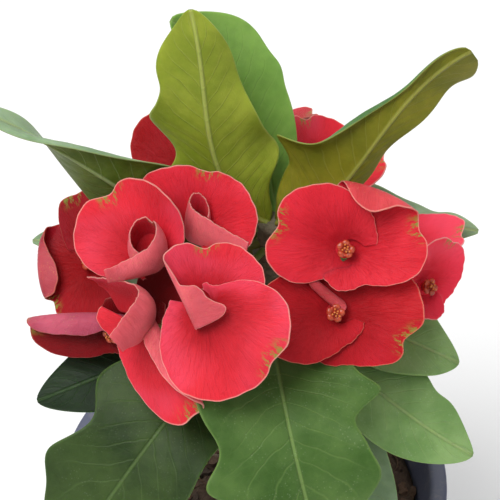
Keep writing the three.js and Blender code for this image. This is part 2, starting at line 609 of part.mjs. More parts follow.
// An open bract as most of them grow. Each bloom below changes what its own two bracts do otherwise.
const OPEN = {
  reach: 27, width: 40, back: 10, rise: 8, lean: 8, cup: 2, crease: 0.06, notch: 0.1, ripple: [1, 4, 0],
  swells: [], rolls: [],
};
const BLOOMS = [
  {
    name: 'bloom_front', at: [-16, -44, 273], facing: [-0.1, -0.65, 0.75],
    bracts: [
      {
        ...OPEN, toward: [0.79, -0.43, -0.43], reach: 30, width: 51, rise: 2, lean: 10, cup: 1, notch: 0.06,
        swells: [[85, -14, 38], [150, -5, 26]],
      },
      {
        ...OPEN, toward: [0, 0.7, 0.7], reach: 21, width: 41, back: 8, rise: 8, lean: 12, crease: 0.12,
        notch: 0.14, swells: [[124, 8, 13], [68, -8, 20], [-75, -2, 25]], rolls: [[115, 3.2, 2.3, 185, 0]],
      },
    ],
  },
  {
    name: 'bloom_left', at: [-34, -20, 268], facing: [-0.2, -0.6, 0.8],
    bracts: [
      {
        ...OPEN, toward: [-0.52, 0.6, 0.6], reach: 29, width: 39, back: 5, rise: 6, lean: -4, crease: 0.1,
        swells: [[96, -5, 25]],
        rolls: [[-70, 8, 18, 40, 0]],
      },
      {
        ...OPEN, toward: [0.1, 0.9, 0.1], mouth: [-0.18, -0.05, 0.98], throat: 3.8, step: -1.4, flare: 4,
        belly: 2,
        turn: [-255, 185], wound: [-160, 185], straight: 9, reach: 17, width: 26, back: 8,
      },
    ],
  },
  {
    name: 'bloom_top', at: [-19, -8, 270], facing: [0, -0.1, 0.99],
    bracts: [
      {
        ...OPEN, toward: [0.2, 0.69, 0.69], reach: 22, width: 40, rise: 44, lean: 0, crease: 0.1,
        notch: 0.06, swells: [[60, 3, 30]],
      },
      {
        ...OPEN, toward: [-1, 0, 0], mouth: [0.1, 0.05, 0.99], throat: 3.7, step: 1.4, flare: 0,
        belly: 0.6,
        turn: [-200, 190], wound: [-200, 65], straight: 9, reach: 15, width: 24, back: 9,
        swells: [[-66, 2, 50]],
      },
    ],
  },
  {
    name: 'bloom_right', at: [29, -18, 272], facing: [0.05, -0.7, 0.7],
    bracts: [
      {
        ...OPEN, toward: [-0.94, 0.23, 0.23], reach: 27, width: 38, rise: 6, lean: -6, notch: 0.14,
        swells: [[78, -8, 28]],
        rolls: [[90, 9, 14, 30, 0]],
      },
      {
        ...OPEN, toward: [0.96, 0.18, 0.18], reach: 28, width: 42, rise: 8, lean: -6,
        swells: [[54, 8, 17], [-70, -8, 30]],
        rolls: [[61, 19, 2.4, 150, 0.01]],
      },
    ],
  },
  {
    name: 'bloom_front_right', at: [26, -29.5, 254.5], facing: [0.05, -0.75, 0.65],
    bracts: [
      {
        ...OPEN, toward: [-0.95, -0.1, -0.1], reach: 27, width: 32, rise: 8, lean: 8,
        swells: [[88, -2, 32]], rolls: [[-138, 2.5, 1.5, 300, 0]],
      },
      {
        ...OPEN, toward: [0.93, -0.26, -0.26], reach: 30, width: 44, rise: 8, lean: -8, notch: 0.14,
        swells: [[-48, -8, 34]],
        rolls: [[-90, 1.5, -4, 14, 0]],
      },
    ],
  },
  {
    name: 'bloom_far_left', at: [-55, 0, 248], facing: [-0.4, -0.6, 0.6],
    bracts: [
      {
        ...OPEN, toward: [-0.7, -0.5, -0.5], reach: 24, width: 42, rise: 16, notch: 0.16,
        swells: [[80, -4, 22], [-36, 5, 18], [20, -2.5, 20]],
        rolls: [[-48, 16.5, 2.2, 190, 0.02]],
      },
      {
        ...OPEN, toward: [-0.35, 0.66, 0.66], reach: 29, width: 18, rise: 0, back: 2,
        swells: [[0, -2, 30]],
      },
    ],
  },
  {
    name: 'bloom_far_left_low', at: [-46.5, -24.8, 240.2], facing: [-0.4, -0.8, 0.3],
    bracts: [
      { ...OPEN, toward: [-0.95, 0, 0.02], reach: 33, width: 26, rise: 10,
        swells: [[-60, 2.5, 28], [-118, 11, 22], [70, -4, 40]],
        rolls: [[-85, 4, 2.6, 185, 0.003]] },
      { ...OPEN, toward: [0.75, 0.5, 0.5], reach: 13, width: 20, back: 2, rise: -12 },
    ],
  },
  {
    name: 'bloom_low_left', at: [-37, -35.6, 253.6], facing: [-0.3, -0.7, 0.6],
    bracts: [
      {
        ...OPEN, toward: [1, 0, 0.1], mouth: [-0.39, 0.01, 0.92], throat: 4, step: 0, flare: 8,
        belly: 3,
        turn: [-104, 158], wound: [-42, 56], straight: 12, reach: 15, width: 30, back: 13,
      },
      {
        ...OPEN, toward: [0.62, -0.55, -0.55], reach: 38, width: 28, rise: 9, swells: [[-142, 7, 28]],
        rolls: [[90, 4, 2, 150, 0]],
      },
    ],
  },
  {
    name: 'bloom_under_left', at: [-37, -18, 243], facing: [-0.2, -0.7, 0.7],
    bracts: [
      {
        ...OPEN, toward: [0.75, 0.25, 0.25], reach: 22, width: 30, back: 2,
        swells: [[-72, -8, 35], [75, -3, 30], [-140, -2, 25]],
      },
      { ...OPEN, toward: [0.8, -0.4, -0.4], reach: 9, width: 13, back: 2 },
    ],
  },
  {
    name: 'bloom_far_right', at: [58, -5, 241], facing: [0.5, -0.6, 0.6],
    bracts: [
      { ...OPEN, toward: [0.4, 0.65, 0.65], reach: 20, width: 23, rise: 15, cup: 4 },
      { ...OPEN, toward: [-0.5, -0.6, -0.6], reach: 12, width: 20, back: 2, rise: 10 },
    ],
  },
  {
    name: 'bloom_right_upper', at: [50, 18, 240], facing: [0.15, 0.35, 0.9],
    bracts: [
      { ...OPEN, toward: [0.95, -0.1, 0], reach: 25, width: 30, rise: 8, cup: 6 },
      { ...OPEN, toward: [-0.5, -0.7, 0], reach: 12, width: 20, back: 2, rise: 10 },
    ],
  },
  {
    name: 'bloom_back_left', at: [-24.5, 30, 260], facing: [-0.3, 0.1, 0.9],
    bracts: [
      { ...OPEN, toward: [-0.1, 0.9, 0.3], reach: 26, width: 34, back: 2, rise: 35, cup: 4 },
      { ...OPEN, toward: [0.6, -0.7, 0], reach: 22, width: 34, back: 2, rise: 35, cup: 4 },
    ],
  },
  {
    name: 'bloom_back_right', at: [22, 33, 258], facing: [0.2, 0.1, 0.9],
    bracts: [
      { ...OPEN, toward: [-0.4, 0.8, 0.2], reach: 22, width: 34, back: 2, rise: 35, cup: 4 },
      { ...OPEN, toward: [0.9, -0.1, 0], reach: 28, width: 30, back: 2, rise: 30, cup: 4 },
    ],
  },
  {
    name: 'bloom_back', at: [-2, 57, 256], facing: [0, 0.7, 0.7],
    bracts: [
      { ...OPEN, toward: [-0.8, 0.1, 0.2], back: 2, rise: 15, cup: 3 },
      { ...OPEN, toward: [0.8, 0.1, 0], back: 2, rise: 15, cup: 3 },
    ],
  },
];

// ---------------------------------------------------------------- flower stalks

// Each bloom's stalk leaves the stem at a height, shared out 0-1 along it, and ends just under the
// bloom's disc. bend shifts its middle (millimetres). The stalks grow as one piece with the stem.
const STALKS = {
  bloom_front: { height: 0.93, bend: [0, 0, 0] },
  bloom_left: { height: 0.94, bend: [0, -3, 1] },
  bloom_top: { height: 0.96, bend: [-4, 3, -7] },
  bloom_right: { height: 0.97, bend: [0, 0, 0] },
  bloom_front_right: { height: 0.92, bend: [0, 0, 0] },
  bloom_far_left: { height: 0.91, bend: [0, 0, 0] },
  bloom_far_left_low: { height: 0.87, bend: [0, -2, -3] },
  bloom_low_left: { height: 0.87, bend: [-3, -2, -25] },
  bloom_under_left: { height: 0.88, bend: [0, 0, 0] },
  bloom_far_right: { height: 0.89, bend: [0, 0, 0] },
  bloom_right_upper: { height: 0.94, bend: [0, 0, 0] },
  bloom_back_left: { height: 0.9, bend: [0, 0, 0] },
  bloom_back_right: { height: 0.95, bend: [0, 0, 0] },
  bloom_back: { height: 0.91, bend: [0, 0, 0] },
};

function stalkRod(bloom) {
  const { height, bend } = STALKS[bloom.name];
  const axis = vec(bloom.facing).normalize();
  const foot = stemLine.getPoint(height);
  const under = vec(bloom.at).addScaledVector(axis, -STALK_STRAIGHT);
  const lead = foot.clone().lerp(under, 0.5).add(vec(bend));
  const end = vec(bloom.at).addScaledVector(axis, -STALK_END);
  return rod(new THREE.CubicBezierCurve3(foot, lead, under, end), () => STALK_RADIUS, 4, 3);
}

// ---------------------------------------------------------------- the plant put together

const stemSolid = joined([stemRod(0), ...spines(), ...BLOOMS.map(stalkRod)]);
addNode('pot', pot(), { color: '#4e5266', roughness: 0.5, metalness: 0 });
addNode('soil', soil(), { color: '#3a2a20', roughness: 0.9, metalness: 0 });
addNode('stem', stemSolid, { color: '#6b5f4a', roughness: 0.8, metalness: 0 });
for (const leaf of LEAVES) {
  addNode(leaf.name, leafSolid(leaf), { color: leaf.colour, roughness: 0.5, metalness: 0 });
}
for (const bloom of BLOOMS) {
  const [bracts, centre] = bloomSolids(bloom);
  addNode(`${bloom.name}_bracts`, bracts, { color: '#d03848', roughness: 0.5, metalness: 0 });
  addNode(`${bloom.name}_centre`, centre, { color: '#d8582a', roughness: 0.5, metalness: 0 });
}

export default group;
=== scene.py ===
import math
import random

import bpy
import numpy as np
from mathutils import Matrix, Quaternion, Vector


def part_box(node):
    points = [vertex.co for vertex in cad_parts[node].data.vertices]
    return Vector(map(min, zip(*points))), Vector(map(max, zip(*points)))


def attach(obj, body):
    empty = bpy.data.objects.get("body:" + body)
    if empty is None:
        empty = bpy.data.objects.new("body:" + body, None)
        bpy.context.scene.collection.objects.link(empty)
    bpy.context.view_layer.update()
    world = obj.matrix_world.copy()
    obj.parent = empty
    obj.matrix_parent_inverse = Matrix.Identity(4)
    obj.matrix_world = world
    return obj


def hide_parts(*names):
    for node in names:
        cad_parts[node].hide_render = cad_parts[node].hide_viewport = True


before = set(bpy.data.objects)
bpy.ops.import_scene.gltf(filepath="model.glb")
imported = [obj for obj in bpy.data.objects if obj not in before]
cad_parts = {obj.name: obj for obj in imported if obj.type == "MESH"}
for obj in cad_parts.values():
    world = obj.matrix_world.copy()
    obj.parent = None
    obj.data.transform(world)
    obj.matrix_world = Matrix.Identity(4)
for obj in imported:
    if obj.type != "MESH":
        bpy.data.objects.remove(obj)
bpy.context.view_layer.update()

# ---------------- camera, light and floor
# The potted plant stands on a plain pale floor, lit by three soft panel lamps and a pale room. The camera
# looks down on its front.

CAMERA_PLACE = (-0.0016, -0.4190, 0.6727)
CAMERA_TILT = math.radians(45)
CAMERA_LENS = 126
ROOM_LIGHT = 0.42
BLOOM_DOME = (0, -0.02, 0.25)
FLOOR_SIZE = 12


def new_object(name, data):
    made = bpy.data.objects.new(name, data)
    bpy.context.scene.collection.objects.link(made)
    return made


camera = new_object("camera", bpy.data.cameras.new("camera"))
camera.location = CAMERA_PLACE
camera.rotation_euler = (CAMERA_TILT, 0, 0)
camera.data.sensor_width = 36
camera.data.lens = CAMERA_LENS
bpy.context.scene.camera = camera
bpy.context.scene.view_settings.view_transform = "Standard"


class Bench:
    """Where new nodes go: the tree of the material or the geometry being made."""
    tree = None


def filled(made, inputs):
    """Each input of a node gets a value, or is joined to another node's socket."""
    for key, value in inputs.items():
        if isinstance(value, bpy.types.NodeSocket):
            Bench.tree.links.new(value, made.inputs[key])
        else:
            made.inputs[key].default_value = value


studio = bpy.data.worlds.new("studio")
studio.use_nodes = True
Bench.tree = studio.node_tree
filled(Bench.tree.nodes["Background"], {"Color": (1, 1, 1, 1), "Strength": ROOM_LIGHT})
bpy.context.scene.world = studio


def soft_lamp(name, place, aim, size, watts):
    """A square panel lamp that looks from place to aim."""
    lamp = new_object(name, bpy.data.lights.new(name, "AREA"))
    lamp.location = place
    lamp.rotation_euler = (Vector(aim) - Vector(place)).to_track_quat("-Z", "Y").to_euler()
    lamp.data.size = size
    lamp.data.energy = watts


soft_lamp("key_lamp", (-0.55, -0.45, 1.6), BLOOM_DOME, 0.9, 24)
soft_lamp("fill_lamp", (1.0, -0.9, 0.9), BLOOM_DOME, 1.2, 3.5)
soft_lamp("back_lamp", (0.2, 1.2, 1.2), BLOOM_DOME, 1.0, 7)


def node(kind, inputs=None, **settings):
    made = Bench.tree.nodes.new(kind)
    for key, value in settings.items():
        setattr(made, key, value)
    filled(made, inputs or {})
    return made


def output(kind, inputs=None, **settings):
    """Adds a node and gives its first output."""
    return node(kind, inputs, **settings).outputs[0]


def new_material(name):
    """An empty material, its surface shader, and the place by which its patterns are drawn."""
    material = bpy.data.materials.new(name)
    material.use_nodes = True
    Bench.tree = material.node_tree
    return material, Bench.tree.nodes["Principled BSDF"], node("ShaderNodeTexCoord").outputs["Object"]


floor_paint, skin, _ = new_material("floor paint")
filled(skin, {"Base Color": (0.93, 0.93, 0.93, 1), "Roughness": 0.9, "Specular IOR Level": 0.1})

floor_mesh = bpy.data.meshes.new("floor")
corners = [(-1, -1, 0), (1, -1, 0), (1, 1, 0), (-1, 1, 0)]
floor_mesh.from_pydata([Vector(c) * FLOOR_SIZE / 2 for c in corners], [], [(0, 1, 2, 3)])
floor = new_object("floor", floor_mesh)
floor.data.materials.append(floor_paint)

# ---------------- pot
# A thin nursery pot, moulded in slate-blue plastic. Its rim is turned out to a broad lip, and its floor
# has a ring of drain holes pressed through it.

MM = 0.001
_, pot_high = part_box("pot")
POT_HEIGHT = pot_high.z / MM
RIM_RADIUS = pot_high.x / MM
LIP_WIDTH = 6.5
LIP_DROP = 12
TOP_RADIUS = 68
FOOT_RADIUS = 52
WALL = 2
POT_FLOOR = 3
DRAIN_HOLES = 8
DRAIN_HOLE_RADIUS = 5
DRAIN_RING_RADIUS = 36
POT_SIDES = 144
POT_EDGE_RADIUS = 1.6
SHARP_EDGE = math.radians(50)


def mixed(a, b, share):
    return a + (b - a) * share


def wall_at(z):
    return mixed(FOOT_RADIUS, TOP_RADIUS, z / POT_HEIGHT)


def softened(profile, radius):
    """A profile whose corners are cut twice by a small bend of about that radius."""
    def near(corner, other):
        length = np.linalg.norm(other - corner)
        return corner + (other - corner) / length * min(radius, length / 2.2)

    points = [np.array(p, float) for p in profile]
    bent = [points[0]]
    for before, corner, after in zip(points, points[1:], points[2:]):
        start, end = near(corner, before), near(corner, after)
        bent += [mixed(mixed(start, corner, t), mixed(corner, end, t), t) for t in (0, 0.33, 0.67, 1)]
    return bent + [points[-1]]


def spoke(turn):
    return np.array([math.cos(turn), math.sin(turn), 0])


def closed_rings(start, rings, end):
    """Points and faces of a closed body: equal rings of points between a start and an end point."""
    count, sides = np.shape(rings)[:2]
    points = np.concatenate([[start], np.reshape(rings, (-1, 3)), [end]])
    faces = []
    last = 1 + (count - 1) * sides
    for k in range(sides):
        after = (k + 1) % sides
        faces.append((0, 1 + after, 1 + k))
        for low in range(1, last, sides):
            faces.append((low + k, low + after, low + sides + after, low + sides + k))
        faces.append((last + k, last + after, len(points) - 1))
    return points, faces


def turned(profile, sides):
    """A closed body turned about Z. The profile starts and ends on the axis."""
    turns = 2 * math.pi * np.arange(sides) / sides
    circle = np.stack([np.cos(turns), np.sin(turns), 0 * turns], axis=-1)
    rings = [circle * radius + (0, 0, height) for radius, height in profile[1:-1]]
    return closed_rings((0, 0, profile[0][1]), rings, (0, 0, profile[-1][1]))


def as_piece(name, parts, material):
    """One object from parts in millimetres. Each part is points, faces and named values at the points."""
    mesh = bpy.data.meshes.new(name)
    points, faces = [], []
    for part_points, part_faces, _ in parts:
        start = len(points)
        points.extend((np.asarray(part_points) * MM).tolist())
        faces.extend(tuple(start + i for i in face) for face in part_faces)
    mesh.from_pydata(points, [], faces)
    for key in parts[0][2]:
        values = np.concatenate([part[2][key] for part in parts])
        mesh.attributes.new(key, "FLOAT", "POINT").data.foreach_set("value", values)
    mesh.materials.append(material)
    mesh.polygons.foreach_set("use_smooth", [True] * len(faces))
    mesh.validate()
    return new_object(name, mesh)


def planted(piece, slot, *nodes):
    """The piece stands for these solids and is part of the one still body. Its slot is not used."""
    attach(piece, "root")
    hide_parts(*nodes)


def maths(operation, *values, clamp=False):
    return output("ShaderNodeMath", dict(enumerate(values)), operation=operation, use_clamp=clamp)


def times(value, factor):
    return maths("MULTIPLY", value, factor)


def times_plus(value, factor, more, clamp=False):
    return maths("MULTIPLY_ADD", value, factor, more, clamp=clamp)


def ramp(value, start, end):
    """0 below start, 1 above end, and a soft step between them."""
    ends = {"Value": value, "From Min": start, "From Max": end}
    return node("ShaderNodeMapRange", ends, interpolation_type="SMOOTHSTEP").outputs["Result"]


def attribute(key):
    return node("ShaderNodeAttribute", attribute_name=key).outputs["Fac"]


def blended(share, start, end):
    """The first colour where share is 0, and the second where it is 1."""
    start, end = ((*colour, 1) if isinstance(colour, tuple) else colour for colour in (start, end))
    return node("ShaderNodeMix", {0: share, 6: start, 7: end}, data_type="RGBA").outputs[2]


def patches(place, scale, detail=3, roughness=0.5, warp=0):
    """Soft noise of that many features a metre, about 0.5 in the middle."""
    look = {"Vector": place, "Scale": scale, "Detail": detail, "Roughness": roughness, "Distortion": warp}
    return node("ShaderNodeTexNoise", look).outputs["Fac"]


def pressed(skin, height, distance):
    """Relief on a surface: height 0 to 1 stands for that distance in metres."""
    filled(skin, {"Normal": output("ShaderNodeBump", {"Height": height, "Distance": distance})})


pot_plastic, skin, place = new_material("slate blue pot plastic")
cloud = patches(place, 35, 4)
dust = ramp(patches(place, 160, 5, 0.7), 0.5, 0.72)
plastic = blended(cloud, (0.065, 0.072, 0.118), (0.11, 0.12, 0.185))
sheen = output("ShaderNodeMapRange", {"Value": cloud, "To Min": 0.38, "To Max": 0.6})
filled(skin, {"Base Color": blended(times(dust, 0.35), plastic, (0.25, 0.23, 0.21)), "Roughness": sheen})
pressed(skin, patches(place, 2500, 2), 0.00006)

lip_foot = POT_HEIGHT - LIP_DROP
pot_profile = [
    (0, 0), (FOOT_RADIUS, 0), (wall_at(lip_foot - 2), lip_foot - 2), (RIM_RADIUS - 1, lip_foot),
    (RIM_RADIUS, POT_HEIGHT), (RIM_RADIUS - LIP_WIDTH, POT_HEIGHT),
    (wall_at(lip_foot - 2) - WALL, lip_foot - 2), (wall_at(POT_FLOOR) - WALL, POT_FLOOR), (0, POT_FLOOR),
]
pot_body = turned(softened(pot_profile, POT_EDGE_RADIUS), POT_SIDES)
pot = as_piece("plant_pot", [(*pot_body, {})], pot_plastic)

drills = []
for i in range(DRAIN_HOLES):
    turn = 2 * math.pi * i / DRAIN_HOLES
    low, high = -POT_FLOOR, 2 * POT_FLOOR
    hole = [(0, low), (DRAIN_HOLE_RADIUS, low), (DRAIN_HOLE_RADIUS, high), (0, high)]
    points, faces = turned(hole, 24)
    drills.append((points + DRAIN_RING_RADIUS * spoke(turn), faces, {}))
drill = as_piece("drill", drills, pot_plastic)
cut = pot.modifiers.new("drain holes", "BOOLEAN")
cut.object = drill
cut.operation = "DIFFERENCE"
cut.solver = "EXACT"


def made_plain(piece):
    """Applies the piece's modifiers and leaves a plain mesh."""
    bpy.context.view_layer.update()
    evaluated = piece.evaluated_get(bpy.context.evaluated_depsgraph_get())
    plain = bpy.data.meshes.new_from_object(evaluated)
    piece.modifiers.clear()
    piece.data = plain
    return piece


made_plain(pot)
bpy.data.objects.remove(drill)
pot.data.set_sharp_from_angle(angle=SHARP_EDGE)
planted(pot, "pot_plastic", "pot")

# ---------------- soil
# Potting mix of composted bark and coir, filled to a little below the rim and held by the pot's wall.
# Loose chips and fibres lie on it.

SOIL_TOP = 117
SOIL_LUMP = 1.5
SOIL_GAP = 0.3
SOIL_SIDES = 96
SOIL_RINGS = 40
SOIL_TONE = 0.3
LITTER = {"Chips": 26000.0, "Fibres": 16000.0, "Seed": 4}  # numbers on a square metre, and a draw

bark_soil, skin, place = new_material("bark and coir")
tone = attribute("tone")
crumbs = patches(place, 700, 5, 0.7)
grain = patches(place, 220, 4, 0.6)
chip_brown = blended(tone, (0.018, 0.011, 0.008), (0.12, 0.062, 0.034))
crumb_brown = blended(times(grain, crumbs), chip_brown, (0.16, 0.1, 0.065))
filled(skin, {"Base Color": crumb_brown, "Roughness": 0.88})
pressed(skin, maths("ADD", crumbs, grain), 0.0012)


def lumps(x, y):
    broad = math.sin(x * 0.31 + 1) * math.cos(y * 0.27)
    return SOIL_LUMP * (broad + 0.5 * math.sin(x * 0.7 - y * 0.6)) * 0.8


def inside_wall(z):
    return wall_at(z) - WALL - SOIL_GAP


shoulder = SOIL_TOP - 2 * SOIL_LUMP
soil_profile = [(0, POT_FLOOR + SOIL_GAP), (inside_wall(POT_FLOOR) - 1, POT_FLOOR + SOIL_GAP)]
soil_profile += [(inside_wall(z), z) for z in np.linspace(POT_FLOOR + 2, shoulder, 6)]
soil_profile += [(inside_wall(shoulder) * share, SOIL_TOP) for share in np.linspace(0.96, 0.02, SOIL_RINGS)]
soil_profile += [(0, SOIL_TOP)]
soil_points, soil_faces = turned(soil_profile, SOIL_SIDES)
for point in soil_points:
    if point[2] == SOIL_TOP:
        point[2] += lumps(point[0], point[1]) - 0.4
soil_facts = {"tone": np.full(len(soil_points), SOIL_TONE)}
soil = as_piece("potting_mix", [(soil_points, soil_faces, soil_facts)], bark_soil)


def geometry_tree(name, sizes):
    """Starts a geometry tree with one named input for each size, and gives its inputs."""
    tree = Bench.tree = bpy.data.node_groups.new(name, "GeometryNodeTree")
    tree.interface.new_socket("Geometry", in_out="OUTPUT", socket_type="NodeSocketGeometry")
    tree.interface.new_socket("Geometry", in_out="INPUT", socket_type="NodeSocketGeometry")
    for label in sizes:
        kind = "NodeSocketInt" if label == "Seed" else "NodeSocketFloat"
        tree.interface.new_socket(label, in_out="INPUT", socket_type=kind)
    return node("NodeGroupInput").outputs


def grown(piece, geometry, material, sizes):
    """Ends the tree, puts it on the piece with these sizes, and makes the result a plain mesh."""
    real = output("GeometryNodeRealizeInstances", {"Geometry": geometry})
    real = output("GeometryNodeSetMaterial", {"Geometry": real, "Material": material})
    node("NodeGroupOutput", {"Geometry": real})
    tree = Bench.tree
    modifier = piece.modifiers.new(tree.name, "NODES")
    modifier.node_group = tree
    for item in tree.interface.items_tree:
        if item.in_out == "INPUT" and item.name in sizes:
            modifier[item.identifier] = sizes[item.name]
    return made_plain(piece)


def random_vector(low, high, seed):
    limits = {"Min": low, "Max": high, "Seed": seed}
    return node("FunctionNodeRandomValue", limits, data_type="FLOAT_VECTOR").outputs["Value"]


given = geometry_tree("bark chips and fibres", ["Chips", "Fibres", "Seed"])
lift = node("ShaderNodeSeparateXYZ", {0: output("GeometryNodeInputPosition")}).outputs["Z"]
on_top = node("FunctionNodeCompare", {"A": lift, "B": shoulder * MM + 0.0005}, operation="GREATER_THAN")
litter = [given["Geometry"]]

lump = node("GeometryNodeMeshCube", {"Vertices X": 5, "Vertices Y": 4, "Vertices Z": 3})
crook = node("ShaderNodeTexNoise", {"Scale": 2.5, "Detail": 2.0}).outputs["Color"]
offset = output("ShaderNodeVectorMath", {0: crook, 1: (0.5, 0.5, 0.5)}, operation="SUBTRACT")
offset = output("ShaderNodeVectorMath", {0: offset, "Scale": 0.8}, operation="SCALE")
chip = output("GeometryNodeSetPosition", {"Geometry": lump.outputs["Mesh"], "Offset": offset})

bend = {"Resolution": 7, "Start": (-0.5, 0, 0), "Middle": (0.1, 0.5, 0.25), "End": (0.5, -0.1, 0)}
thread_line = output("GeometryNodeCurveQuadraticBezier", bend)
thread_ring = output("GeometryNodeCurvePrimitiveCircle", {"Resolution": 4, "Radius": 0.028})
thread = output("GeometryNodeCurveToMesh",
                {"Curve": thread_line, "Profile Curve": thread_ring, "Fill Caps": True})

# their smallest and largest sizes are in metres
for number, (what, piece_shape, low, high) in enumerate([
    ("Chips", chip, (0.003, 0.002, 0.0012), (0.011, 0.0055, 0.003)),
    ("Fibres", thread, (0.006, 0.006, 0.006), (0.016, 0.016, 0.014)),
]):
    spots = node("GeometryNodeDistributePointsOnFaces",
                 {"Mesh": given["Geometry"], "Selection": on_top.outputs[0], "Density": given[what],
                  "Seed": given["Seed"]})
    tilt = random_vector((-0.35, -0.35, 0), (0.35, 0.35, 6.28), 3 + number)
    laid = output("GeometryNodeInstanceOnPoints",
                  {"Points": spots.outputs["Points"], "Instance": piece_shape, "Rotation": tilt,
                   "Scale": random_vector(low, high, 7 + number)})
    shade = node("FunctionNodeRandomValue", {"Seed": 12 + number}, data_type="FLOAT")
    toned = node("GeometryNodeStoreNamedAttribute",
                 {"Geometry": laid, "Name": "tone", "Value": shade.outputs[1]},
                 data_type="FLOAT", domain="INSTANCE")
    litter.append(toned.outputs[0])
heap = node("GeometryNodeJoinGeometry")
for part in reversed(litter):
    filled(heap, {0: part})
soil = grown(soil, heap.outputs[0], bark_soil, LITTER)

litter_points = np.empty((len(soil.data.vertices), 3), np.float32)
soil.data.vertices.foreach_get("co", litter_points.ravel())
room = inside_wall(litter_points[:, 2] / MM) * MM
reach = np.maximum(np.hypot(litter_points[:, 0], litter_points[:, 1]), room)
litter_points[:, :2] *= (room / reach)[:, None]  # what would pass through the pot is pressed against it
soil.data.vertices.foreach_set("co", litter_points.ravel())
planted(soil, "soil", "soil")

# ---------------- stem and spines
# One woody olive-brown stem, rooted in the soil and bent a little. Hard dry spines with swollen feet grow
# out of its bark all round.

STEM_FOOT = 88
STEM_TOP = 262
STEM_RADIUS = 7.5
STEM_SIDES = 40
SPINE_LENGTH = 13
SPINES = 34
SPINE_FOOT_RADIUS = 1.35
SPINE_POINT_RADIUS = 0.1
SPINE_SUNK = 1.2
GOLDEN_TURN = math.radians(137.5)


def unit(v):
    return v / np.linalg.norm(v, axis=-1, keepdims=True)


def stem_line(t):
    """The stem's middle at shares of its length: a smooth line through four places."""
    stations = np.array([(0, 0, STEM_FOOT), (-1, -1, 150), (2, 2, 210), (6, 5, STEM_TOP)], float)
    curves = [np.polyfit([0, 1 / 3, 2 / 3, 1], stations[:, k], 3) for k in range(3)]
    return np.stack([np.polyval(curve, t) for curve in curves], axis=-1)


def stem_radius(t):
    return STEM_RADIUS * mixed(1.1, 0.72, t) + 0.5 * np.sin(t * 31)


def bezier(route, t):
    """The place and the direction on a curve of four points, at shares of its length."""
    route = np.array(route, float)
    weights = [(1 - t) ** 3, 3 * t * (1 - t) ** 2, 3 * t * t * (1 - t), t ** 3]
    slopes = [(1 - t) ** 2, 2 * t * (1 - t), t * t]
    place = sum(w[..., None] * p for w, p in zip(weights, route))
    along = sum(w[..., None] * (b - a) for w, a, b in zip(slopes, route, route[1:]))
    return place, unit(along)


def rod(middle, radii, sides):
    """Points and faces of a closed round rod through the middle points."""
    along = unit(np.gradient(middle, axis=0))
    spare = np.where(np.abs(along[:, :1]) < 0.9, [[1.0, 0, 0]], [[0, 1.0, 0]])
    side = unit(spare - along * np.sum(spare * along, axis=1, keepdims=True))
    other = np.cross(along, side)
    turn = np.linspace(0, 2 * math.pi, sides, endpoint=False)
    ring = np.cos(turn)[None, :, None] * side[:, None] + np.sin(turn)[None, :, None] * other[:, None]
    return closed_rings(middle[0], middle[:, None] + ring * np.reshape(radii, (-1, 1, 1)), middle[-1])


stem_bark, skin, place = new_material("olive brown bark")
bands = output("ShaderNodeMapping", {"Vector": place, "Scale": (1, 1, 3)})
ridges = patches(bands, 260, 5, 0.65, 0.4)
patch = ramp(patches(place, 60, 3), 0.42, 0.62)
bark = blended(ridges, blended(patch, (0.05, 0.05, 0.025), (0.11, 0.085, 0.055)), (0.3, 0.25, 0.17))
filled(skin, {"Base Color": bark, "Roughness": 0.75})
pressed(skin, ridges, 0.0012)

spine_horn, skin, place = new_material("dry brown spines")
horn_brown = blended(patches(place, 300, 3), (0.1, 0.075, 0.05), (0.34, 0.24, 0.16))
filled(skin, {"Base Color": horn_brown, "Roughness": 0.5})

shares = np.linspace(0, 1, 120)
trunk = rod(stem_line(shares), stem_radius(shares) + 0.25 * np.sin(shares * 83), STEM_SIDES)
planted(as_piece("woody_stem", [(*trunk, {})], stem_bark), "stem", "stem")

draw = random.Random(11)
spine_feet, spine_ways, spine_lengths = [], [], []
for i in range(SPINES):
    t = mixed(0.22, 0.8, i / (SPINES - 1))
    turn = i * GOLDEN_TURN + 0.3 * draw.random()
    out = unit(spoke(turn) + (0, 0, mixed(0.1, 0.45, draw.random())))
    spine_feet.append(stem_line(np.array(t)) + out * (stem_radius(t) - SPINE_SUNK))
    spine_ways.append(out)
    spine_lengths.append(SPINE_LENGTH * mixed(0.6, 1, draw.random()))
spots = bpy.data.meshes.new("spine feet")
spots.from_pydata((np.array(spine_feet) * MM).tolist(), [], [])
ways = spots.attributes.new("way", "FLOAT_VECTOR", "POINT")
ways.data.foreach_set("vector", np.array(spine_ways).ravel())
lengths = spots.attributes.new("length", "FLOAT", "POINT")
lengths.data.foreach_set("value", np.array(spine_lengths) * MM)
spines = new_object("spines", spots)

given = geometry_tree("spines", ["Foot radius", "Point radius"])
horn = node("GeometryNodeMeshCone",
            {"Vertices": 10, "Side Segments": 8, "Radius Top": given["Point radius"],
             "Radius Bottom": given["Foot radius"], "Depth": 1.0})
way = output("GeometryNodeInputNamedAttribute", {"Name": "way"}, data_type="FLOAT_VECTOR")
long = output("GeometryNodeInputNamedAttribute", {"Name": "length"}, data_type="FLOAT")
aim = output("FunctionNodeAlignRotationToVector", {"Vector": way}, axis="Z")
size = output("ShaderNodeCombineXYZ", {"X": 1.0, "Y": 1.0, "Z": long})
stuck = node("GeometryNodeInstanceOnPoints",
             {"Points": given["Geometry"], "Instance": horn.outputs["Mesh"],
              "Rotation": aim, "Scale": size})
grown(spines, stuck.outputs[0], spine_horn,
      {"Foot radius": SPINE_FOOT_RADIUS * MM, "Point radius": SPINE_POINT_RADIUS * MM})
planted(spines, "stem", "stem")

# ---------------- leaves
# Fifteen broad succulent leaves grow from the top of the stem. Each is one thin blade with a pale midrib
# raised on its underside, side veins, and a waved margin that may roll or twist.

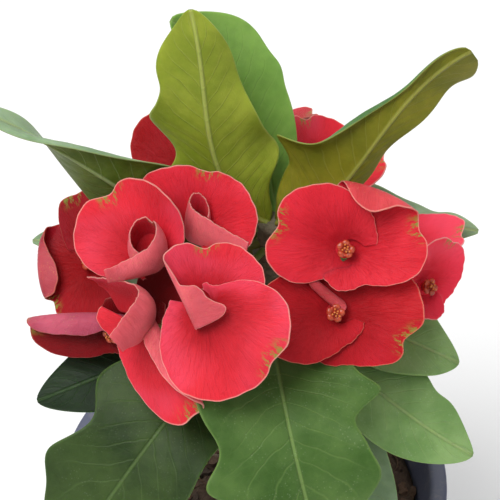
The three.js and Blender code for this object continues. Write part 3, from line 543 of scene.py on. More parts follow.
BLADE_HALF_THICKNESS = 0.35
LEAF_STALK_HALF_WIDTH = 2.2
LEAF_STALK_DEPTH = 2.0
LEAF_RIB_DEPTH = 0.8
SECTION_STEPS = 16
SIDE_VEINS = 15
VEIN_SLANT = 2.4


def eased(start, end, x):
    share = np.clip((x - start) / (end - start), 0, 1)
    return share * share * (3 - 2 * share)


def leaf_sheet(leaf):
    """The leaf's middle surface: s runs from -1 to 1 across it, t from 0 at its foot to 1 at its tip."""
    face_foot, face_tip = (np.array(f, float) for f in leaf["face"])
    power = math.log(0.5) / math.log(leaf["widest"])
    ruffle, ruffles, phase = leaf["ruffle"]

    def sheet(s, t):
        place, along = bezier(leaf["route"], t)
        up = mixed(face_foot, face_tip, (np.abs(t) ** leaf["twist"])[..., None])
        up = unit(up - along * np.sum(up * along, axis=-1, keepdims=True))
        side = np.cross(along, up)
        hand = np.where(s < 0, -1, 1)
        shape = np.sin(math.pi * np.clip(t, 0, 1) ** power).clip(0) ** leaf["fullness"]
        stalk = LEAF_STALK_HALF_WIDTH * mixed(1, 0.3, t)
        half = stalk + (leaf["width"] / 2 - LEAF_STALK_HALF_WIDTH) * shape
        for spot, wave_side, size, reach in leaf["waves"]:
            half = half + (hand == wave_side) * size * np.exp(-(((t - spot) / reach) ** 2))
        fold = np.radians(mixed(*leaf["fold"], t))
        curl = np.radians(mixed(*leaf["curl"], t))
        (left_turn, left_share), (right_turn, right_share) = leaf["lips"]
        lip = np.radians(np.where(s < 0, left_turn, right_turn)) * shape * eased(0.25, 0.7, t)
        lip_from = 1 - np.where(s < 0, left_share, right_share)
        outward = raised = 0
        step = np.abs(s) / SECTION_STEPS
        for k in range(SECTION_STEPS):
            reach = (k + 0.5) * step
            slope = fold + curl * reach - lip * eased(lip_from, 1, reach)
            outward = outward + np.cos(slope) * step * half
            raised = raised + np.sin(slope) * step * half
        wave = np.sin(2 * math.pi * (ruffles * t + phase) + np.where(s < 0, 2, 0))
        raised = raised + ruffle * s * s * wave * shape
        puffed = np.cos(2 * math.pi * (SIDE_VEINS * t - VEIN_SLANT * np.abs(s)))
        raised = raised - 0.1 * puffed * shape * np.sin(math.pi * np.abs(s))
        return place + side * (hand * outward)[..., None] + up * raised[..., None], half * np.abs(s)

    return sheet


def blade(sheet, us, vs, depth):
    """Points and faces of a closed blade round a middle surface, and each point's u and v."""
    u, v = np.meshgrid(us, vs)
    step = 1e-3
    across = sheet(u + step, v) - sheet(u - step, v)
    onward = sheet(u, v + step) - sheet(u, v - step)
    normal = unit(np.cross(across, onward))
    middle = sheet(u, v)
    front, back = depth(u, v)
    points = np.concatenate([middle + normal * front[..., None], middle - normal * back[..., None]])
    count, wide, tall = u.size, len(us), len(vs)
    faces = []
    for j in range(tall - 1):
        for i in range(wide - 1):
            a, b = j * wide + i, j * wide + i + 1
            c, d = b + wide, a + wide
            faces += [(a, b, c, d), (count + a, count + d, count + c, count + b)]
    rim = list(range(wide)) + [j * wide + wide - 1 for j in range(1, tall)]
    rim += [(tall - 1) * wide + i for i in range(wide - 2, -1, -1)]
    rim += [j * wide for j in range(tall - 2, 0, -1)]
    faces += [(a, count + a, count + b, b) for a, b in zip(rim, rim[1:] + rim[:1])]
    return points.reshape(-1, 3), faces, np.tile(u.ravel(), 2), np.tile(v.ravel(), 2)


def leaf_skin(name, top, under, rib, freckles=0.0, gloss=0.42):
    """A leaf's two faces: top and under hold a darker and a lighter colour, and rib that of the veins."""
    material, skin, place = new_material(name + " leaf")
    s, t, back, reach = (attribute(key) for key in ("across", "along", "under", "reach"))
    wide = maths("ABSOLUTE", s)
    drift = times(patches(place, 90, 2), 0.7)
    phase = times_plus(t, SIDE_VEINS, drift)
    phase = maths("SUBTRACT", phase, times(wide, VEIN_SLANT))
    gap = maths("ABSOLUTE", maths("SUBTRACT", maths("FRACT", phase), 0.5))
    side_vein = times(ramp(gap, 0.43, 0.5), ramp(wide, 1, 0.45))
    midrib = ramp(reach, 0.95, 0.3)
    cells = node("ShaderNodeTexVoronoi", {"Vector": place, "Scale": 330.0}, feature="DISTANCE_TO_EDGE")
    net = ramp(cells.outputs["Distance"], 0.09, 0.0)
    cloud = ramp(patches(place, 55, 4, 0.6), 0.3, 0.7)
    fine = patches(place, 420, 4, 0.7)
    shade = times_plus(fine, 0.35, times(cloud, 0.75), clamp=True)
    colour = blended(back, *(blended(shade, dark, light) for dark, light in (top, under)))
    veins = maths("ADD", times(side_vein, 0.22), times(net, 0.03))
    colour = blended(maths("MAXIMUM", times(midrib, 0.6), veins), colour, rib)
    if freckles:
        dots = node("ShaderNodeTexVoronoi", {"Vector": place, "Scale": 900.0, "Randomness": 1.0})
        near = ramp(dots.outputs["Distance"], 0.3, 0.14)
        some = ramp(patches(place, 140, 3), 0.45, 0.62)
        dusted = times(times(near, some), freckles)
        colour = blended(dusted, colour, (0.42, 0.5, 0.34))
    edge = times(ramp(wide, 0.965, 1.0), 0.45)
    filled(skin, {"Base Color": blended(edge, colour, rib), "Subsurface Weight": 0.3,
                  "Roughness": times_plus(fine, 0.22, gloss - 0.1), "Specular IOR Level": 0.14,
                  "Subsurface Radius": (0.5, 1.0, 0.15), "Subsurface Scale": 0.0015})
    sunk = times(maths("ADD", times(side_vein, 0.4), midrib), -0.8)
    relief = maths("ADD", times(sunk, times_plus(back, -2, 1)), times_plus(net, -0.06, times(fine, 0.25)))
    pressed(skin, relief, 0.00035)
    return material


LEAF_COLOURS = dict(
    # sunlit: painted backlight, a lighter and yellower green than the leaf's own olive, where light shines
    # through the top front leaf.
    sunlit=["young yellow green", ((0.09, 0.18, 0.02), (0.15, 0.27, 0.04)),
            ((0.15, 0.2, 0.012), (0.29, 0.34, 0.035)), (0.4, 0.44, 0.12)],
    green=["mid green", ((0.14, 0.27, 0.05), (0.25, 0.42, 0.09)),
           ((0.09, 0.14, 0.02), (0.16, 0.22, 0.04)), (0.26, 0.37, 0.11)],
    olive=["olive", ((0.06, 0.14, 0.045), (0.12, 0.23, 0.08)),
           ((0.10, 0.11, 0.006), (0.22, 0.2, 0.016)), (0.3, 0.3, 0.07)],
    glaucous=["grey green", ((0.15, 0.24, 0.12), (0.3, 0.4, 0.25)),
              ((0.045, 0.08, 0.008), (0.11, 0.15, 0.018)), (0.3, 0.36, 0.16)],
    dark=["dark green", ((0.016, 0.034, 0.009), (0.05, 0.085, 0.022)),
          ((0.05, 0.09, 0.02), (0.1, 0.15, 0.035)), (0.1, 0.16, 0.05), 0.06, 0.5],
    # deep: painted shade, a much darker copy of the leaf green for the low left leaf that lies under the
    # leaves and blooms above it.
    deep=["deep green", ((0.005, 0.014, 0.004), (0.014, 0.03, 0.011)),
          ((0.03, 0.06, 0.015), (0.06, 0.1, 0.03)), (0.05, 0.09, 0.035), 0, 0.5],
    freckled=["freckled green", ((0.036, 0.09, 0.0145), (0.09, 0.165, 0.04)),
              ((0.06, 0.1, 0.02), (0.11, 0.17, 0.04)), (0.2, 0.3, 0.09), 0.13, 0.46],
    matt=["pale matt green", ((0.12, 0.23, 0.065), (0.24, 0.37, 0.14)),
          ((0.08, 0.13, 0.03), (0.14, 0.2, 0.05)), (0.3, 0.4, 0.16), 0.2, 0.5],
)
SKINS = {key: leaf_skin(*colours) for key, colours in LEAF_COLOURS.items()}
PLAIN_LEAF = dict(skin="green", widest=0.5, fullness=0.75, twist=1, fold=[8, 4], curl=[6, 0],
                  ruffle=[2, 2, 0], lips=[[0, 0.3], [0, 0.3]], waves=[])
LEAVES = dict(
    leaf_top_front=dict(skin="sunlit", route=[[5, 7, 261], [-21, 10, 273], [-13, 9, 313], [-20, 17, 342]],
        face=[[-0.1, 1, 0.1], [0.1, 0.9, 0.2]], width=37, fullness=0.7, fold=[14, 8],
        curl=[10, 10], ruffle=[2, 2.5, 0], waves=[[0.56, 1, 3, 0.05], [0.43, 1, -4, 0.06],
        [0.34, 1, 3, 0.04], [0.7, 1, -1.5, 0.05], [0.82, 1, 3, 0.12], [0.72, -1, -3, 0.12],
        [0.28, -1, 5, 0.14]]),
    leaf_top_back=dict(route=[[8, 10, 258], [4, 28, 279], [-4, 34, 305], [-27, 30, 328]],
        face=[[0, -1, 0.2], [0.2, -0.7, 0.8]], width=30, widest=0.54, fullness=0.7, fold=[10, 5],
        curl=[10, 0], ruffle=[1.5, 2, 0.3], waves=[[0.79, 1, 5, 0.15], [0.6, 1, 1.5, 0.05]]),
    leaf_right_high=dict(skin="olive", route=[[8, 6, 262], [34, -3, 272], [38, 11, 311], [68, 14, 328]],
        face=[[0.3, 1, -0.3], [-0.15, 0.95, -0.05]], width=36, widest=0.32, fullness=0.55, fold=[10, 10],
        curl=[10, 10], ruffle=[1.5, 2, 0], lips=[[0, 0.3], [185, 0.5]], waves=[[0.33, 1, 10, 0.07],
        [0.75, 1, -6, 0.14], [0.52, -1, -10, 0.17], [0.3, -1, -10, 0.12], [0.96, -1, 7, 0.07]]),
    leaf_left_high=dict(skin="glaucous", route=[[2, 4, 254], [-40, 2, 263], [-46, 2, 292], [-93, 6, 313]],
        face=[[0.1, 1, -0.3], [0.25, -0.4, 0.9]], width=34, widest=0.32, twist=3, fold=[10, 10],
        curl=[10, 10], ruffle=[1.5, 2, 0], lips=[[120, 0.5], [0, 0.3]],
        waves=[[0.1, -1, -9, 0.1], [0.1, 1, -9, 0.1]]),
    leaf_right_back=dict(skin="glaucous", route=[[9, 9, 242], [33, 26, 232], [54, 35, 236], [80, 28, 235]],
        face=[[0, -0.2, 1], [0.2, -0.3, 1]], width=26, fold=[12, 4], curl=[8, 0],
        waves=[[0.52, -1, 6, 0.12], [0.8, -1, -2, 0.06]]),
    leaf_left_back=dict(skin="glaucous", route=[[0, 6, 232], [-27, 14, 226], [-54, 26, 238],
        [-79, 24, 234]], face=[[0, -0.2, 1], [-0.2, 0, 1]], width=30, widest=0.45, fold=[12, 4],
        curl=[8, 0], ruffle=[2, 2, 0.4], waves=[[0.85, 1, -3, 0.06]]),
    leaf_front_centre=dict(skin="freckled", route=[[3, 0, 228], [9, -40, 238], [6, -72, 261],
        [25, -84, 180]], face=[[0.22, -0.2, 1], [0.1, -1, 0.6]], width=62, widest=0.42, fullness=0.65,
        ruffle=[3, 2.5, 0], waves=[[0.38, -1, -7, 0.1], [0.51, -1, 4, 0.05], [0.62, 1, -3, 0.06],
        [0.63, -1, -5, 0.06], [0.73, 1, 8, 0.05], [0.84, 1, -5, 0.06], [0.8, -1, 6, 0.06]]),
    leaf_front_left=dict(skin="dark", route=[[3, 0, 225], [-17, -31, 226], [-30, -57, 234],
        [-64, -72, 176]], face=[[0, -0.2, 1], [-0.3, -1, 0.8]], width=60, widest=0.6, fullness=1.1,
        ruffle=[3, 2.5, 0.3], waves=[[0.42, 1, -4, 0.12], [0.69, 1, -7, 0.07], [0.84, 1, 8, 0.06],
        [0.94, 1, 9, 0.06], [0.58, -1, -9, 0.15]]),
    leaf_left_low=dict(skin="deep", route=[[0, 2, 216], [-25, -16, 226], [-53, -28, 220], [-74, -34, 215]],
        face=[[0, -0.1, 1], [-0.3, -0.5, 1]], width=29, widest=0.6),
    leaf_front_right=dict(skin="matt", route=[[6, 0, 216], [29, -17, 224], [47, -40, 214], [75, -43, 197]],
        face=[[0, -0.1, 1], [0.3, -0.6, 1]], width=36, widest=0.58, ruffle=[2, 2, 0.2],
        waves=[[0.75, -1, -2, 0.06]]),
    leaf_right_low=dict(skin="matt", route=[[8, 3, 229], [32, -5, 227], [51, -16, 228], [71, -16, 214]],
        face=[[0, 0, 1], [0.3, -0.5, 1]], width=32, widest=0.6, ruffle=[2, 2, 0.6]),
    leaf_front_lowest=dict(skin="glaucous", route=[[3, 0, 188], [21, -22, 196], [33, -44, 196],
        [47, -62, 160]], face=[[0, 0, 1], [0.3, -0.6, 1]], width=36, widest=0.55, ruffle=[2, 2, 0.1]),
    leaf_back_centre=dict(route=[[4, 6, 232], [2, 34, 244], [-4, 66, 244], [-10, 100, 216]],
        face=[[0, 0, 1], [0, 0.5, 1]], width=50, ruffle=[3, 2.5, 0.5]),
    leaf_back_left=dict(skin="dark", route=[[1, 4, 218], [-18, 28, 236], [-42, 58, 230], [-58, 86, 190]],
        face=[[0, 0, 1], [-0.3, 0.4, 1]], width=46, ruffle=[3, 2.5, 0.7]),
    leaf_back_right=dict(route=[[5, 4, 208], [26, 28, 226], [48, 54, 222], [66, 80, 184]],
        face=[[0, 0, 1], [0.3, 0.4, 1]], width=46, ruffle=[3, 2.5, 0.9]),
)

LEAF_SLOTS = dict(sunlit="leaf_olive", olive="leaf_olive", glaucous="leaf_pale")
stations = np.linspace(-1, 1, 57)
LEAF_ACROSS = np.sign(stations) * np.abs(stations) ** 1.3  # closer together at the midrib
LEAF_ALONG = np.linspace(0, 1, 109)


def leaf_depth(s, t):
    stalk = LEAF_STALK_DEPTH * (1 - eased(0.05, 0.25, t)) * (1 - np.abs(s))
    rib = LEAF_RIB_DEPTH * (1 - 0.8 * t) * np.exp(-(s / 0.055) ** 2)
    half = BLADE_HALF_THICKNESS - 0.15 * eased(0.9, 1, np.abs(s))
    return half - 0.15 * np.exp(-(s / 0.05) ** 2), half + stalk + rib


for name, leaf in LEAVES.items():
    leaf = PLAIN_LEAF | leaf
    sheet = leaf_sheet(leaf)
    points, faces, s, t = blade(lambda u, v: sheet(u, v)[0], LEAF_ACROSS, LEAF_ALONG, leaf_depth)
    facts = dict(across=s, along=t, reach=sheet(s, t)[1], under=np.repeat([0.0, 1.0], len(s) // 2))
    piece = as_piece(name + "_blade", [(points, faces, facts)], SKINS[leaf["skin"]])
    planted(piece, LEAF_SLOTS.get(leaf["skin"], "leaf_green"), name)

# ---------------- blooms
# Each bloom has two broad velvety red bracts joined at the foot. Most lie open, some with a rolled
# margin, and three blooms have one bract wound into a scroll. They grow on the flower stalks.

BRACT_ROOT = 1.5
BRACT_SPREAD = 152
BRACT_FOOT_SPREAD = 66
BRACT_LEVELS = [-0.5, -1.6]
BRACT_DISC_RADIUS = 3
BRACT_DISC_TOP = 0.2
BRACT_DISC_BOTTOM = -2.2
BRACT_LIFT_TO = 7
BRACT_NOTCH_WIDTH = 0.17
SCROLL_LIFT_FROM = 0.65
SCROLL_LIFT = 0.5


def bract_edge(bract, theta):
    """How far the margin lies from the bloom's middle in each direction from the bract's tip."""
    long = (bract["reach"] + bract["back"]) / 2
    shift = long - bract["back"]
    wide = bract["width"] / 2
    a = np.cos(theta) ** 2 / long ** 2 + np.sin(theta) ** 2 / wide ** 2
    b = -2 * shift * np.cos(theta) / long ** 2
    c = shift ** 2 / long ** 2 - 1
    edge = (-b + np.sqrt(b * b - 4 * a * c)) / (2 * a)
    for direction, size, spread in bract["swells"]:
        edge = edge + size * np.exp(-(((theta - math.radians(direction)) / math.radians(spread)) ** 2))
    edge = edge * (1 - bract["notch"] * np.exp(-((theta / BRACT_NOTCH_WIDTH) ** 2)))
    return edge + 0.16 * np.sin(theta * 13 + bract["reach"]) + 0.1 * np.sin(theta * 31)


def bract_sheet(bloom, bract, level):
    """An open bract's middle surface: u runs round it from -1 to 1, and v from its foot to its margin."""
    axis = Vector(bloom["facing"]).normalized()
    toward = Vector(bract["toward"])
    toward = (toward - axis * toward.dot(axis)).normalized()
    flat_side = axis.cross(toward)
    turn = Quaternion(flat_side, -math.radians(bract["rise"]))
    ahead = turn @ toward
    lean = Quaternion(ahead, math.radians(bract["lean"]))
    side, up = lean @ flat_side, lean @ (turn @ axis)
    centre = np.array(Vector(bloom["at"]) + axis * level)
    toward, flat_side, ahead, side, up = (np.array(d) for d in (toward, flat_side, ahead, side, up))
    ripple, ripples, phase = bract["ripple"]

    def sheet(u, v):
        edge = bract_edge(bract, u * math.radians(BRACT_SPREAD))
        rho = mixed(BRACT_ROOT, edge, v)
        lifted = eased(BRACT_ROOT, BRACT_LIFT_TO, rho)
        theta = u * np.radians(mixed(BRACT_FOOT_SPREAD, BRACT_SPREAD, lifted))
        x, y = rho * np.cos(theta), rho * np.sin(theta)
        share = rho / bract["reach"]
        dx = dy = dz = 0
        for direction, crease, radius, most, bow in bract["rolls"]:
            kx, ky = math.cos(math.radians(direction)), math.sin(math.radians(direction))
            past = np.maximum(x * kx + y * ky - crease + bow * (y * kx - x * ky) ** 2, 0)
            size = abs(radius)
            angle = np.minimum(past / size, math.radians(most))
            rest = past - angle * size
            shift = size * np.sin(angle) + rest * np.cos(angle) - past
            dx, dy = dx + shift * kx, dy + shift * ky
            dz = dz + math.copysign(1, radius) * (size * (1 - np.cos(angle)) + rest * np.sin(angle))
        dz = dz + bract["cup"] * share ** 2 + bract["crease"] * (np.hypot(y, 1) - 1)
        dz = dz + ripple * share ** 3 * np.sin(ripples * theta + phase)
        dz = dz + 0.25 * share ** 4 * np.sin(9 * theta + 3 * phase + bract["reach"])
        x, y = x[..., None], y[..., None]
        flat = centre + toward * x + flat_side * y
        forward = np.where(x + np.asarray(dx)[..., None] > 0, ahead, toward)
        raised = centre + forward * (x + np.asarray(dx)[..., None]) + side * (y + np.asarray(dy)[..., None])
        raised = raised + up * dz[..., None]
        return mixed(flat, raised, lifted[..., None])

    return sheet


def scroll_sheet(bloom, bract, level):
    """A bract wound into a scroll, which may run straight beyond its wound part."""
    mouth = Vector(bract["mouth"]).normalized()
    toward = Vector(bract["toward"])
    toward = (toward - mouth * toward.dot(mouth)).normalized()
    side = np.array(mouth.cross(toward))
    centre = np.array(Vector(bloom["at"]) + Vector(bloom["facing"]).normalized() * level)
    mouth, toward = np.array(mouth), np.array(toward)
    flare = math.radians(bract["flare"])
    first, last = (math.radians(a) for a in bract["turn"])
    start, end = (math.radians(a) for a in bract["wound"])

    def sheet(u, v):
        turn = mixed(first, last, (u + 1) / 2)[..., None]
        bend = np.clip(turn, start, end)
        free = (turn - bend) * bract["straight"]
        share = mixed(SCROLL_LIFT * eased(SCROLL_LIFT_FROM, 1, np.abs(u)), 1, v)[..., None]
        length = bract_edge(bract, u * math.radians(BRACT_SPREAD))[..., None] * share
        winding = bract["throat"] + bract["step"] * bend / (2 * math.pi)
        radius = winding + length * math.sin(flare) + bract["belly"] * np.sin(math.pi * share)
        middle = centre + mouth * length * math.cos(flare)
        middle = middle + toward * (radius * np.cos(bend) - free * np.sin(bend))
        return middle + side * (radius * np.sin(bend) + free * np.cos(bend))

    return sheet


def velvet(name, deep, lit, back, sheen_pink, cream):
    """A bract's two faces: the velvety front from deep to lit with patches of painted pink sheen, the dusty
    back with golden freckles.
    """
    material, skin, place = new_material(name + " velvet bract")
    out, around, under = (attribute(key) for key in ("out", "around", "under"))
    fan = output("ShaderNodeCombineXYZ", {"X": times(around, 9), "Y": out, "Z": times(under, 5)})
    branch = patches(fan, 2.2, 4, 0.55, 0.25)
    vein = ramp(maths("ABSOLUTE", maths("SUBTRACT", branch, 0.5)), 0.018, 0.0)
    vein = times(vein, ramp(out, 0.1, 0.4))
    cloud = ramp(patches(place, 70, 3), 0.32, 0.68)
    fine = patches(place, 900, 3, 0.6)
    fade = times_plus(ramp(out, 0.1, 0.95), 0.55, times(cloud, 0.35))
    rays = output("ShaderNodeMapping", {"Vector": fan, "Scale": (6, 0.8, 1)})
    streaks = ramp(patches(rays, 3.0, 3, 0.6), 0.3, 0.7)
    fade = times_plus(streaks, 0.14, fade)
    front = blended(times_plus(fine, 0.15, fade, clamp=True), deep, lit)
    # Painted sheen: soft patches toward the margin take a pinker colour that stands for the velvet's pale
    # sheen.
    sheen_patches = times(ramp(patches(place, 34, 2), 0.42, 0.68), ramp(out, 0.3, 0.9))
    front = blended(times(sheen_patches, 0.6), front, sheen_pink)
    front = blended(times(vein, 0.1), front, tuple(c * 0.6 for c in deep))
    gold = ramp(patches(place, 2600, 2, 0.5), 0.6, 0.7)
    gold = times(gold, ramp(patches(place, 150, 3, 0.6), 0.45, 0.62))
    rear = blended(cloud, back, tuple(min(1, c * 1.35 + 0.03) for c in back))
    rear = blended(times(gold, 0.5), rear, (0.62, 0.42, 0.12))
    rear = blended(times(vein, 0.12), rear, tuple(c * 0.7 for c in back))
    colour = blended(under, front, rear)
    strayed = times_plus(patches(place, 60, 2), 0.16, -0.08)
    tipward = ramp(maths("ABSOLUTE", maths("ADD", around, strayed)), 0.1, 0.03)
    strokes = output("ShaderNodeMapping", {"Vector": fan, "Scale": (2.6, 3.5, 1)})
    streak = ramp(patches(strokes, 1.6, 5, 0.7), 0.5, 0.54)
    green = times(times(tipward, ramp(out, 0.78, 0.98)), streak)
    colour = blended(times(green, 0.9), colour, (0.19, 0.26, 0.04))
    margin = ramp(out, 0.98, 0.997)
    colour = blended(times(margin, 0.7), colour, cream)
    filled(skin, {"Base Color": colour, "Roughness": times_plus(fine, 0.2, 0.36), "Subsurface Weight": 0.4,
                  "Subsurface Radius": (1.0, 0.3, 0.25), "Subsurface Scale": 0.0015,
                  "Specular IOR Level": 0.12, "Sheen Weight": 0.04, "Sheen Roughness": 0.4,
                  "Sheen Tint": (1.0, 0.75, 0.75, 1)})
    grain = times_plus(vein, -0.25, times_plus(streaks, 0.3, times(fine, 0.5)))
    pressed(skin, grain, 0.00025)
    return material


# Partly its own pinker red, partly painted light: a lighter copy of the red velvet for the far right
# blooms, which sit in the shade of the right bloom.
BRIGHTENED_ROSE = velvet("brightened pink rose", (0.60, 0.007, 0.02), (0.86, 0.035, 0.075), (0.74, 0.07, 0.12),
                 (0.88, 0.08, 0.14), (0.82, 0.36, 0.32))
ROSE = velvet("rose red", (0.33, 0.003, 0.008), (0.69, 0.024, 0.042), (0.56, 0.08, 0.10),
              (0.74, 0.07, 0.13), (0.82, 0.36, 0.31))
SCARLET = velvet("scarlet", (0.27, 0.002, 0.005), (0.50, 0.01, 0.018), (0.42, 0.04, 0.05),
                 (0.55, 0.02, 0.04), (0.7, 0.2, 0.14))
FLAME = velvet("flame red", (0.38, 0.003, 0.009), (0.66, 0.022, 0.04), (0.50, 0.04, 0.05),
               (0.66, 0.04, 0.08), (0.80, 0.30, 0.25))
CRIMSON = velvet("crimson", (0.21, 0.001, 0.003), (0.33, 0.005, 0.008), (0.33, 0.035, 0.05),
                 (0.30, 0.008, 0.02), (0.5, 0.14, 0.10))
# Painted shade: a much darker copy of the red velvet front, for the blooms that face down in shadow under
# the others. The back keeps the bract's own dusty pink.
SHADED_RED = velvet("shaded red", (0.13, 0.001, 0.002), (0.20, 0.003, 0.005), (0.36, 0.05, 0.09),
                (0.20, 0.005, 0.012), (0.4, 0.1, 0.08))

PLAIN_BRACT = dict(reach=27, width=40, back=10, rise=8, lean=8, cup=2, crease=0.06, notch=0.1,
                   ripple=[1, 4, 0], swells=[], rolls=[])
BLOOMS = dict(
    bloom_front=dict(at=[-16, -44, 273], facing=[-0.1, -0.65, 0.75], skin=ROSE, stalk=0.93, bracts=[
        dict(toward=[0.79, -0.43, -0.43], reach=30, width=51, rise=2, lean=10, cup=1, notch=0.06,
             swells=[[85, -14, 38], [150, -5, 26]]),
        dict(toward=[0, 0.7, 0.7], reach=21, width=41, back=8, rise=8, lean=12, crease=0.12, notch=0.14,
             swells=[[124, 8, 13], [68, -8, 20], [-75, -2, 25]], rolls=[[115, 3.2, 2.3, 185, 0]])]),
    bloom_left=dict(at=[-34, -20, 268], facing=[-0.2, -0.6, 0.8], skin=ROSE, stalk=0.94,
        bend=[0, -3, 1], bracts=[
        dict(toward=[-0.52, 0.6, 0.6], reach=29, width=39, back=5, rise=6, lean=-4, crease=0.1,
             swells=[[96, -5, 25]], rolls=[[-70, 8, 18, 40, 0]]),
        dict(toward=[0.1, 0.9, 0.1], mouth=[-0.18, -0.05, 0.98], throat=3.8, step=-1.4, flare=4,
             belly=2, turn=[-255, 185], wound=[-160, 185], straight=9, reach=17, width=26, back=8)]),
    bloom_top=dict(at=[-19, -8, 270], facing=[0, -0.1, 0.99], skin=ROSE, stalk=0.96,
        bend=[-4, 3, -7], bracts=[
        dict(toward=[0.2, 0.69, 0.69], reach=22, width=40, rise=44, lean=0, crease=0.1, notch=0.06,
             swells=[[60, 3, 30]]),
        dict(toward=[-1, 0, 0], mouth=[0.1, 0.05, 0.99], throat=3.7, step=1.4, flare=0, belly=0.6,
             turn=[-200, 190], wound=[-200, 65], straight=9, reach=15, width=24, back=9,
             swells=[[-66, 2, 50]])]),
    bloom_right=dict(at=[29, -18, 272], facing=[0.05, -0.7, 0.7], skin=FLAME, stalk=0.97, bracts=[
        dict(toward=[-0.94, 0.23, 0.23], reach=27, width=38, rise=6, lean=-6, notch=0.14,
             swells=[[78, -8, 28]], rolls=[[90, 9, 14, 30, 0]]),
        dict(toward=[0.96, 0.18, 0.18], reach=28, width=42, rise=8, lean=-6,
             swells=[[54, 8, 17], [-70, -8, 30]], rolls=[[61, 19, 2.4, 150, 0.01]])]),
    bloom_front_right=dict(at=[26, -29.5, 254.5], facing=[0.05, -0.75, 0.65], stalk=0.92, bracts=[
        dict(toward=[-0.95, -0.1, -0.1], reach=27, width=32, rise=8, lean=8, swells=[[88, -2, 32]],
             rolls=[[-138, 2.5, 1.5, 300, 0]]),
        dict(toward=[0.93, -0.26, -0.26], reach=30, width=44, rise=8, lean=-8, notch=0.14,
             swells=[[-48, -8, 34]], rolls=[[-90, 1.5, -4, 14, 0]])]),
    bloom_far_left=dict(at=[-55, 0, 248], facing=[-0.4, -0.6, 0.6], skin=CRIMSON, stalk=0.91, bracts=[
        dict(toward=[-0.7, -0.5, -0.5], reach=24, width=42, rise=16, notch=0.16,
             swells=[[80, -4, 22], [-36, 5, 18], [20, -2.5, 20]], rolls=[[-48, 16.5, 2.2, 190, 0.02]]),
        dict(toward=[-0.35, 0.66, 0.66], reach=29, width=18, rise=0, back=2, swells=[[0, -2, 30]])]),
    bloom_far_left_low=dict(at=[-46.5, -24.8, 240.2], facing=[-0.4, -0.8, 0.3], skin=SHADED_RED, stalk=0.87,
        bend=[0, -2, -3], bracts=[
        dict(toward=[-0.95, 0, 0.02], reach=33, width=26, rise=10,
             swells=[[-60, 2.5, 28], [-118, 11, 22], [70, -4, 40]], rolls=[[-85, 4, 2.6, 185, 0.003]]),
        dict(toward=[0.75, 0.5, 0.5], reach=13, width=20, back=2, rise=-12)]),
    bloom_low_left=dict(at=[-37, -35.6, 253.6], facing=[-0.3, -0.7, 0.6], skin=ROSE, stalk=0.87,
        bend=[-3, -2, -25], bracts=[
        dict(toward=[1, 0, 0.1], mouth=[-0.39, 0.01, 0.92], throat=4, step=0, flare=8, belly=3,
             turn=[-104, 158], wound=[-42, 56], straight=12, reach=15, width=30, back=13),
        dict(toward=[0.62, -0.55, -0.55], reach=38, width=28, rise=9, swells=[[-142, 7, 28]],
             rolls=[[90, 4, 2, 150, 0]])]),
    bloom_under_left=dict(at=[-37, -18, 243], facing=[-0.2, -0.7, 0.7], skin=SHADED_RED, stalk=0.88, bracts=[
        dict(toward=[0.75, 0.25, 0.25], reach=22, width=30, back=2,
             swells=[[-72, -8, 35], [75, -3, 30], [-140, -2, 25]]),
        dict(toward=[0.8, -0.4, -0.4], reach=9, width=13, back=2)]),
    bloom_far_right=dict(at=[58, -5, 241], facing=[0.5, -0.6, 0.6], skin=BRIGHTENED_ROSE, stalk=0.89, bracts=[
        dict(toward=[0.4, 0.65, 0.65], reach=20, width=23, rise=15, cup=4),
        dict(toward=[-0.5, -0.6, -0.6], reach=12, width=20, back=2, rise=10)]),
    bloom_right_upper=dict(at=[50, 18, 240], facing=[0.15, 0.35, 0.9], skin=BRIGHTENED_ROSE, stalk=0.94, bracts=[
        dict(toward=[0.95, -0.1, 0], reach=25, width=30, rise=8, cup=6),
        dict(toward=[-0.5, -0.7, 0], reach=12, width=20, back=2, rise=10)]),
    bloom_back_left=dict(at=[-24.5, 30, 260], facing=[-0.3, 0.1, 0.9], skin=CRIMSON, stalk=0.9, bracts=[
        dict(toward=[-0.1, 0.9, 0.3], reach=26, width=34, back=2, rise=35, cup=4),
        dict(toward=[0.6, -0.7, 0], reach=22, width=34, back=2, rise=35, cup=4)]),
    bloom_back_right=dict(at=[22, 33, 258], facing=[0.2, 0.1, 0.9], skin=ROSE, stalk=0.95, bracts=[
        dict(toward=[-0.4, 0.8, 0.2], reach=22, width=34, back=2, rise=35, cup=4),
        dict(toward=[0.9, -0.1, 0], reach=28, width=30, back=2, rise=30, cup=4)]),
    bloom_back=dict(at=[-2, 57, 256], facing=[0, 0.7, 0.7], stalk=0.91, bracts=[
        dict(toward=[-0.8, 0.1, 0.2], back=2, rise=15, cup=3),
        dict(toward=[0.8, 0.1, 0], back=2, rise=15, cup=3)]),
)

BRACT_AROUND = np.linspace(-1, 1, 121)
BRACT_OUT = np.append(np.linspace(0, 0.955, 29), [0.975, 0.99, 1])


def bract_depth(u, v):
    half = BLADE_HALF_THICKNESS - 0.17 * eased(0.9, 1, v)
    return half, half


def at_bloom(points, bloom):
    """Points about Z, set on the bloom with Z along its axis."""
    turn = Vector((0, 0, 1)).rotation_difference(Vector(bloom["facing"]))
    return np.array([turn @ Vector(p) + Vector(bloom["at"]) for p in points])


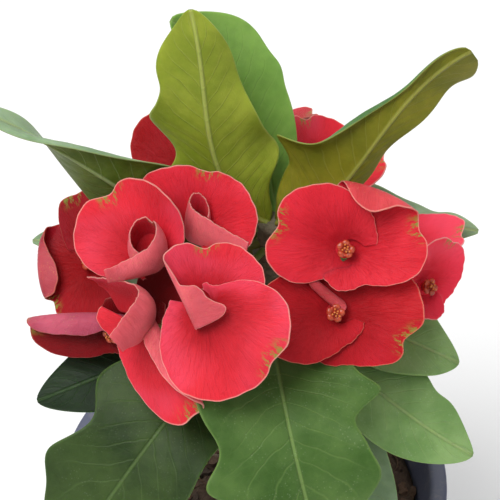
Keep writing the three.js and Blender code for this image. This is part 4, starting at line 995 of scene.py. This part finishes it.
for name, bloom in BLOOMS.items():
    parts = []
    for bract, level in zip(bloom["bracts"], BRACT_LEVELS):
        sheet = (scroll_sheet if "mouth" in bract else bract_sheet)(bloom, PLAIN_BRACT | bract, level)
        points, faces, u, v = blade(sheet, BRACT_AROUND, BRACT_OUT, bract_depth)
        facts = dict(out=v, around=u, under=np.repeat([1.0, 0.0], len(u) // 2))
        parts.append((points, faces, facts))
    disc = [(0, BRACT_DISC_BOTTOM), (BRACT_DISC_RADIUS - 1, BRACT_DISC_BOTTOM),
            (BRACT_DISC_RADIUS, BRACT_DISC_TOP), (0, BRACT_DISC_TOP)]
    points, faces = turned(softened(disc, 0.4), 24)
    none = np.zeros(len(points))
    parts.append((at_bloom(points, bloom), faces, dict(out=none, around=none, under=none)))
    planted(as_piece(name + "_petals", parts, bloom.get("skin", SCARLET)), "bract", name + "_bracts")

# ---------------- flower centres
# The true flower sits in each bloom's middle: a waxy orange-red cup with five glands round its rim and a
# tuft of pollen-tipped stamens.

CUP_PROFILE = [(0, 0), (1.4, 0), (2.4, 2.6), (2.3, 3.6), (1.5, 3.4), (0, 2.6)]
GLANDS = 5
GLAND_RING = 2.1
STAMENS = 7
STAMEN_RADIUS = 0.13
POLLEN_RADIUS = 0.34

wax, skin, place = new_material("waxy orange flower centre")
pollen = attribute("pollen")
mottle = ramp(patches(place, 900, 3), 0.35, 0.65)
body = blended(mottle, (0.28, 0.012, 0.008), (0.52, 0.05, 0.02))
filled(skin, {"Base Color": blended(pollen, body, (0.62, 0.2, 0.035)), "Roughness": 0.3})
pressed(skin, mottle, 0.0001)

ball = [(math.sin(a), -math.cos(a)) for a in np.linspace(0, math.pi, 7)]
ball_points, ball_faces = turned([(0, -1)] + ball[1:-1] + [(0, 1)], 10)


def flower_part(points, faces, bloom, share):
    """A part of one flower, set on its bloom, of which this share is pollen."""
    return at_bloom(points, bloom), faces, dict(pollen=np.full(len(points), share))


for number, (name, bloom) in enumerate(BLOOMS.items()):
    draw = random.Random(40 + number)
    parts = [flower_part(*turned(softened(CUP_PROFILE, 0.3), 30), bloom, 0.0)]
    for k in range(GLANDS):
        turn = 2 * math.pi * (k + 0.3 * draw.random()) / GLANDS
        gland = ball_points * (1.0, 1.25, 0.55) + (GLAND_RING, 0, 3.4)
        gland = gland @ [spoke(turn), spoke(turn + math.pi / 2), (0, 0, 1)]
        parts.append(flower_part(gland, ball_faces, bloom, 0.12))
    for k in range(STAMENS):
        turn = k * GOLDEN_TURN
        away, tall = 0.25 + 0.13 * k, 4.6 + 0.8 * draw.random()
        out = spoke(turn)
        foot, tip = out * away * 0.5 + (0, 0, 2.2), out * away * 1.5 + (0, 0, tall)
        thread = rod(np.linspace(foot, tip, 4), np.full(4, STAMEN_RADIUS), 6)
        parts.append(flower_part(*thread, bloom, 0.2))
        parts.append(flower_part(ball_points * POLLEN_RADIUS + tip, ball_faces, bloom, 0.9))
    planted(as_piece(name + "_flower", parts, wax), "flower_centre", name + "_centre")

# ---------------- flower stalks
# A green stalk carries each bloom. It leaves the stem near its top, arches out under the bracts, and
# thickens where they are fixed to it.

STALK_RADIUS = 1.1
STALK_STRAIGHT = 11
STALK_END = 2.6

stalk_green, skin, place = new_material("green flower stalks")
flush = ramp(patches(place, 90, 3), 0.45, 0.7)
filled(skin, {"Base Color": blended(flush, (0.16, 0.24, 0.05), (0.3, 0.08, 0.05)), "Roughness": 0.45})
pressed(skin, patches(place, 700, 3), 0.0002)

stalk_parts = []
for bloom in BLOOMS.values():
    at, axis = np.array(bloom["at"], float), unit(np.array(bloom["facing"], float))
    foot = stem_line(np.array(bloom["stalk"]))
    under = at - axis * STALK_STRAIGHT
    lead = (foot + under) / 2 + bloom.get("bend", [0, 0, 0])
    steps = np.linspace(0, 1, 30)
    middle, _ = bezier([foot, lead, under, at - axis * STALK_END], steps)
    radii = STALK_RADIUS * (1 + 0.6 * np.exp(-steps * 12) + 0.35 * eased(0.85, 1, steps))
    stalk_parts.append((*rod(middle, radii, 10), {}))
planted(as_piece("flower_stalks", stalk_parts, stalk_green), "stem", "stem")
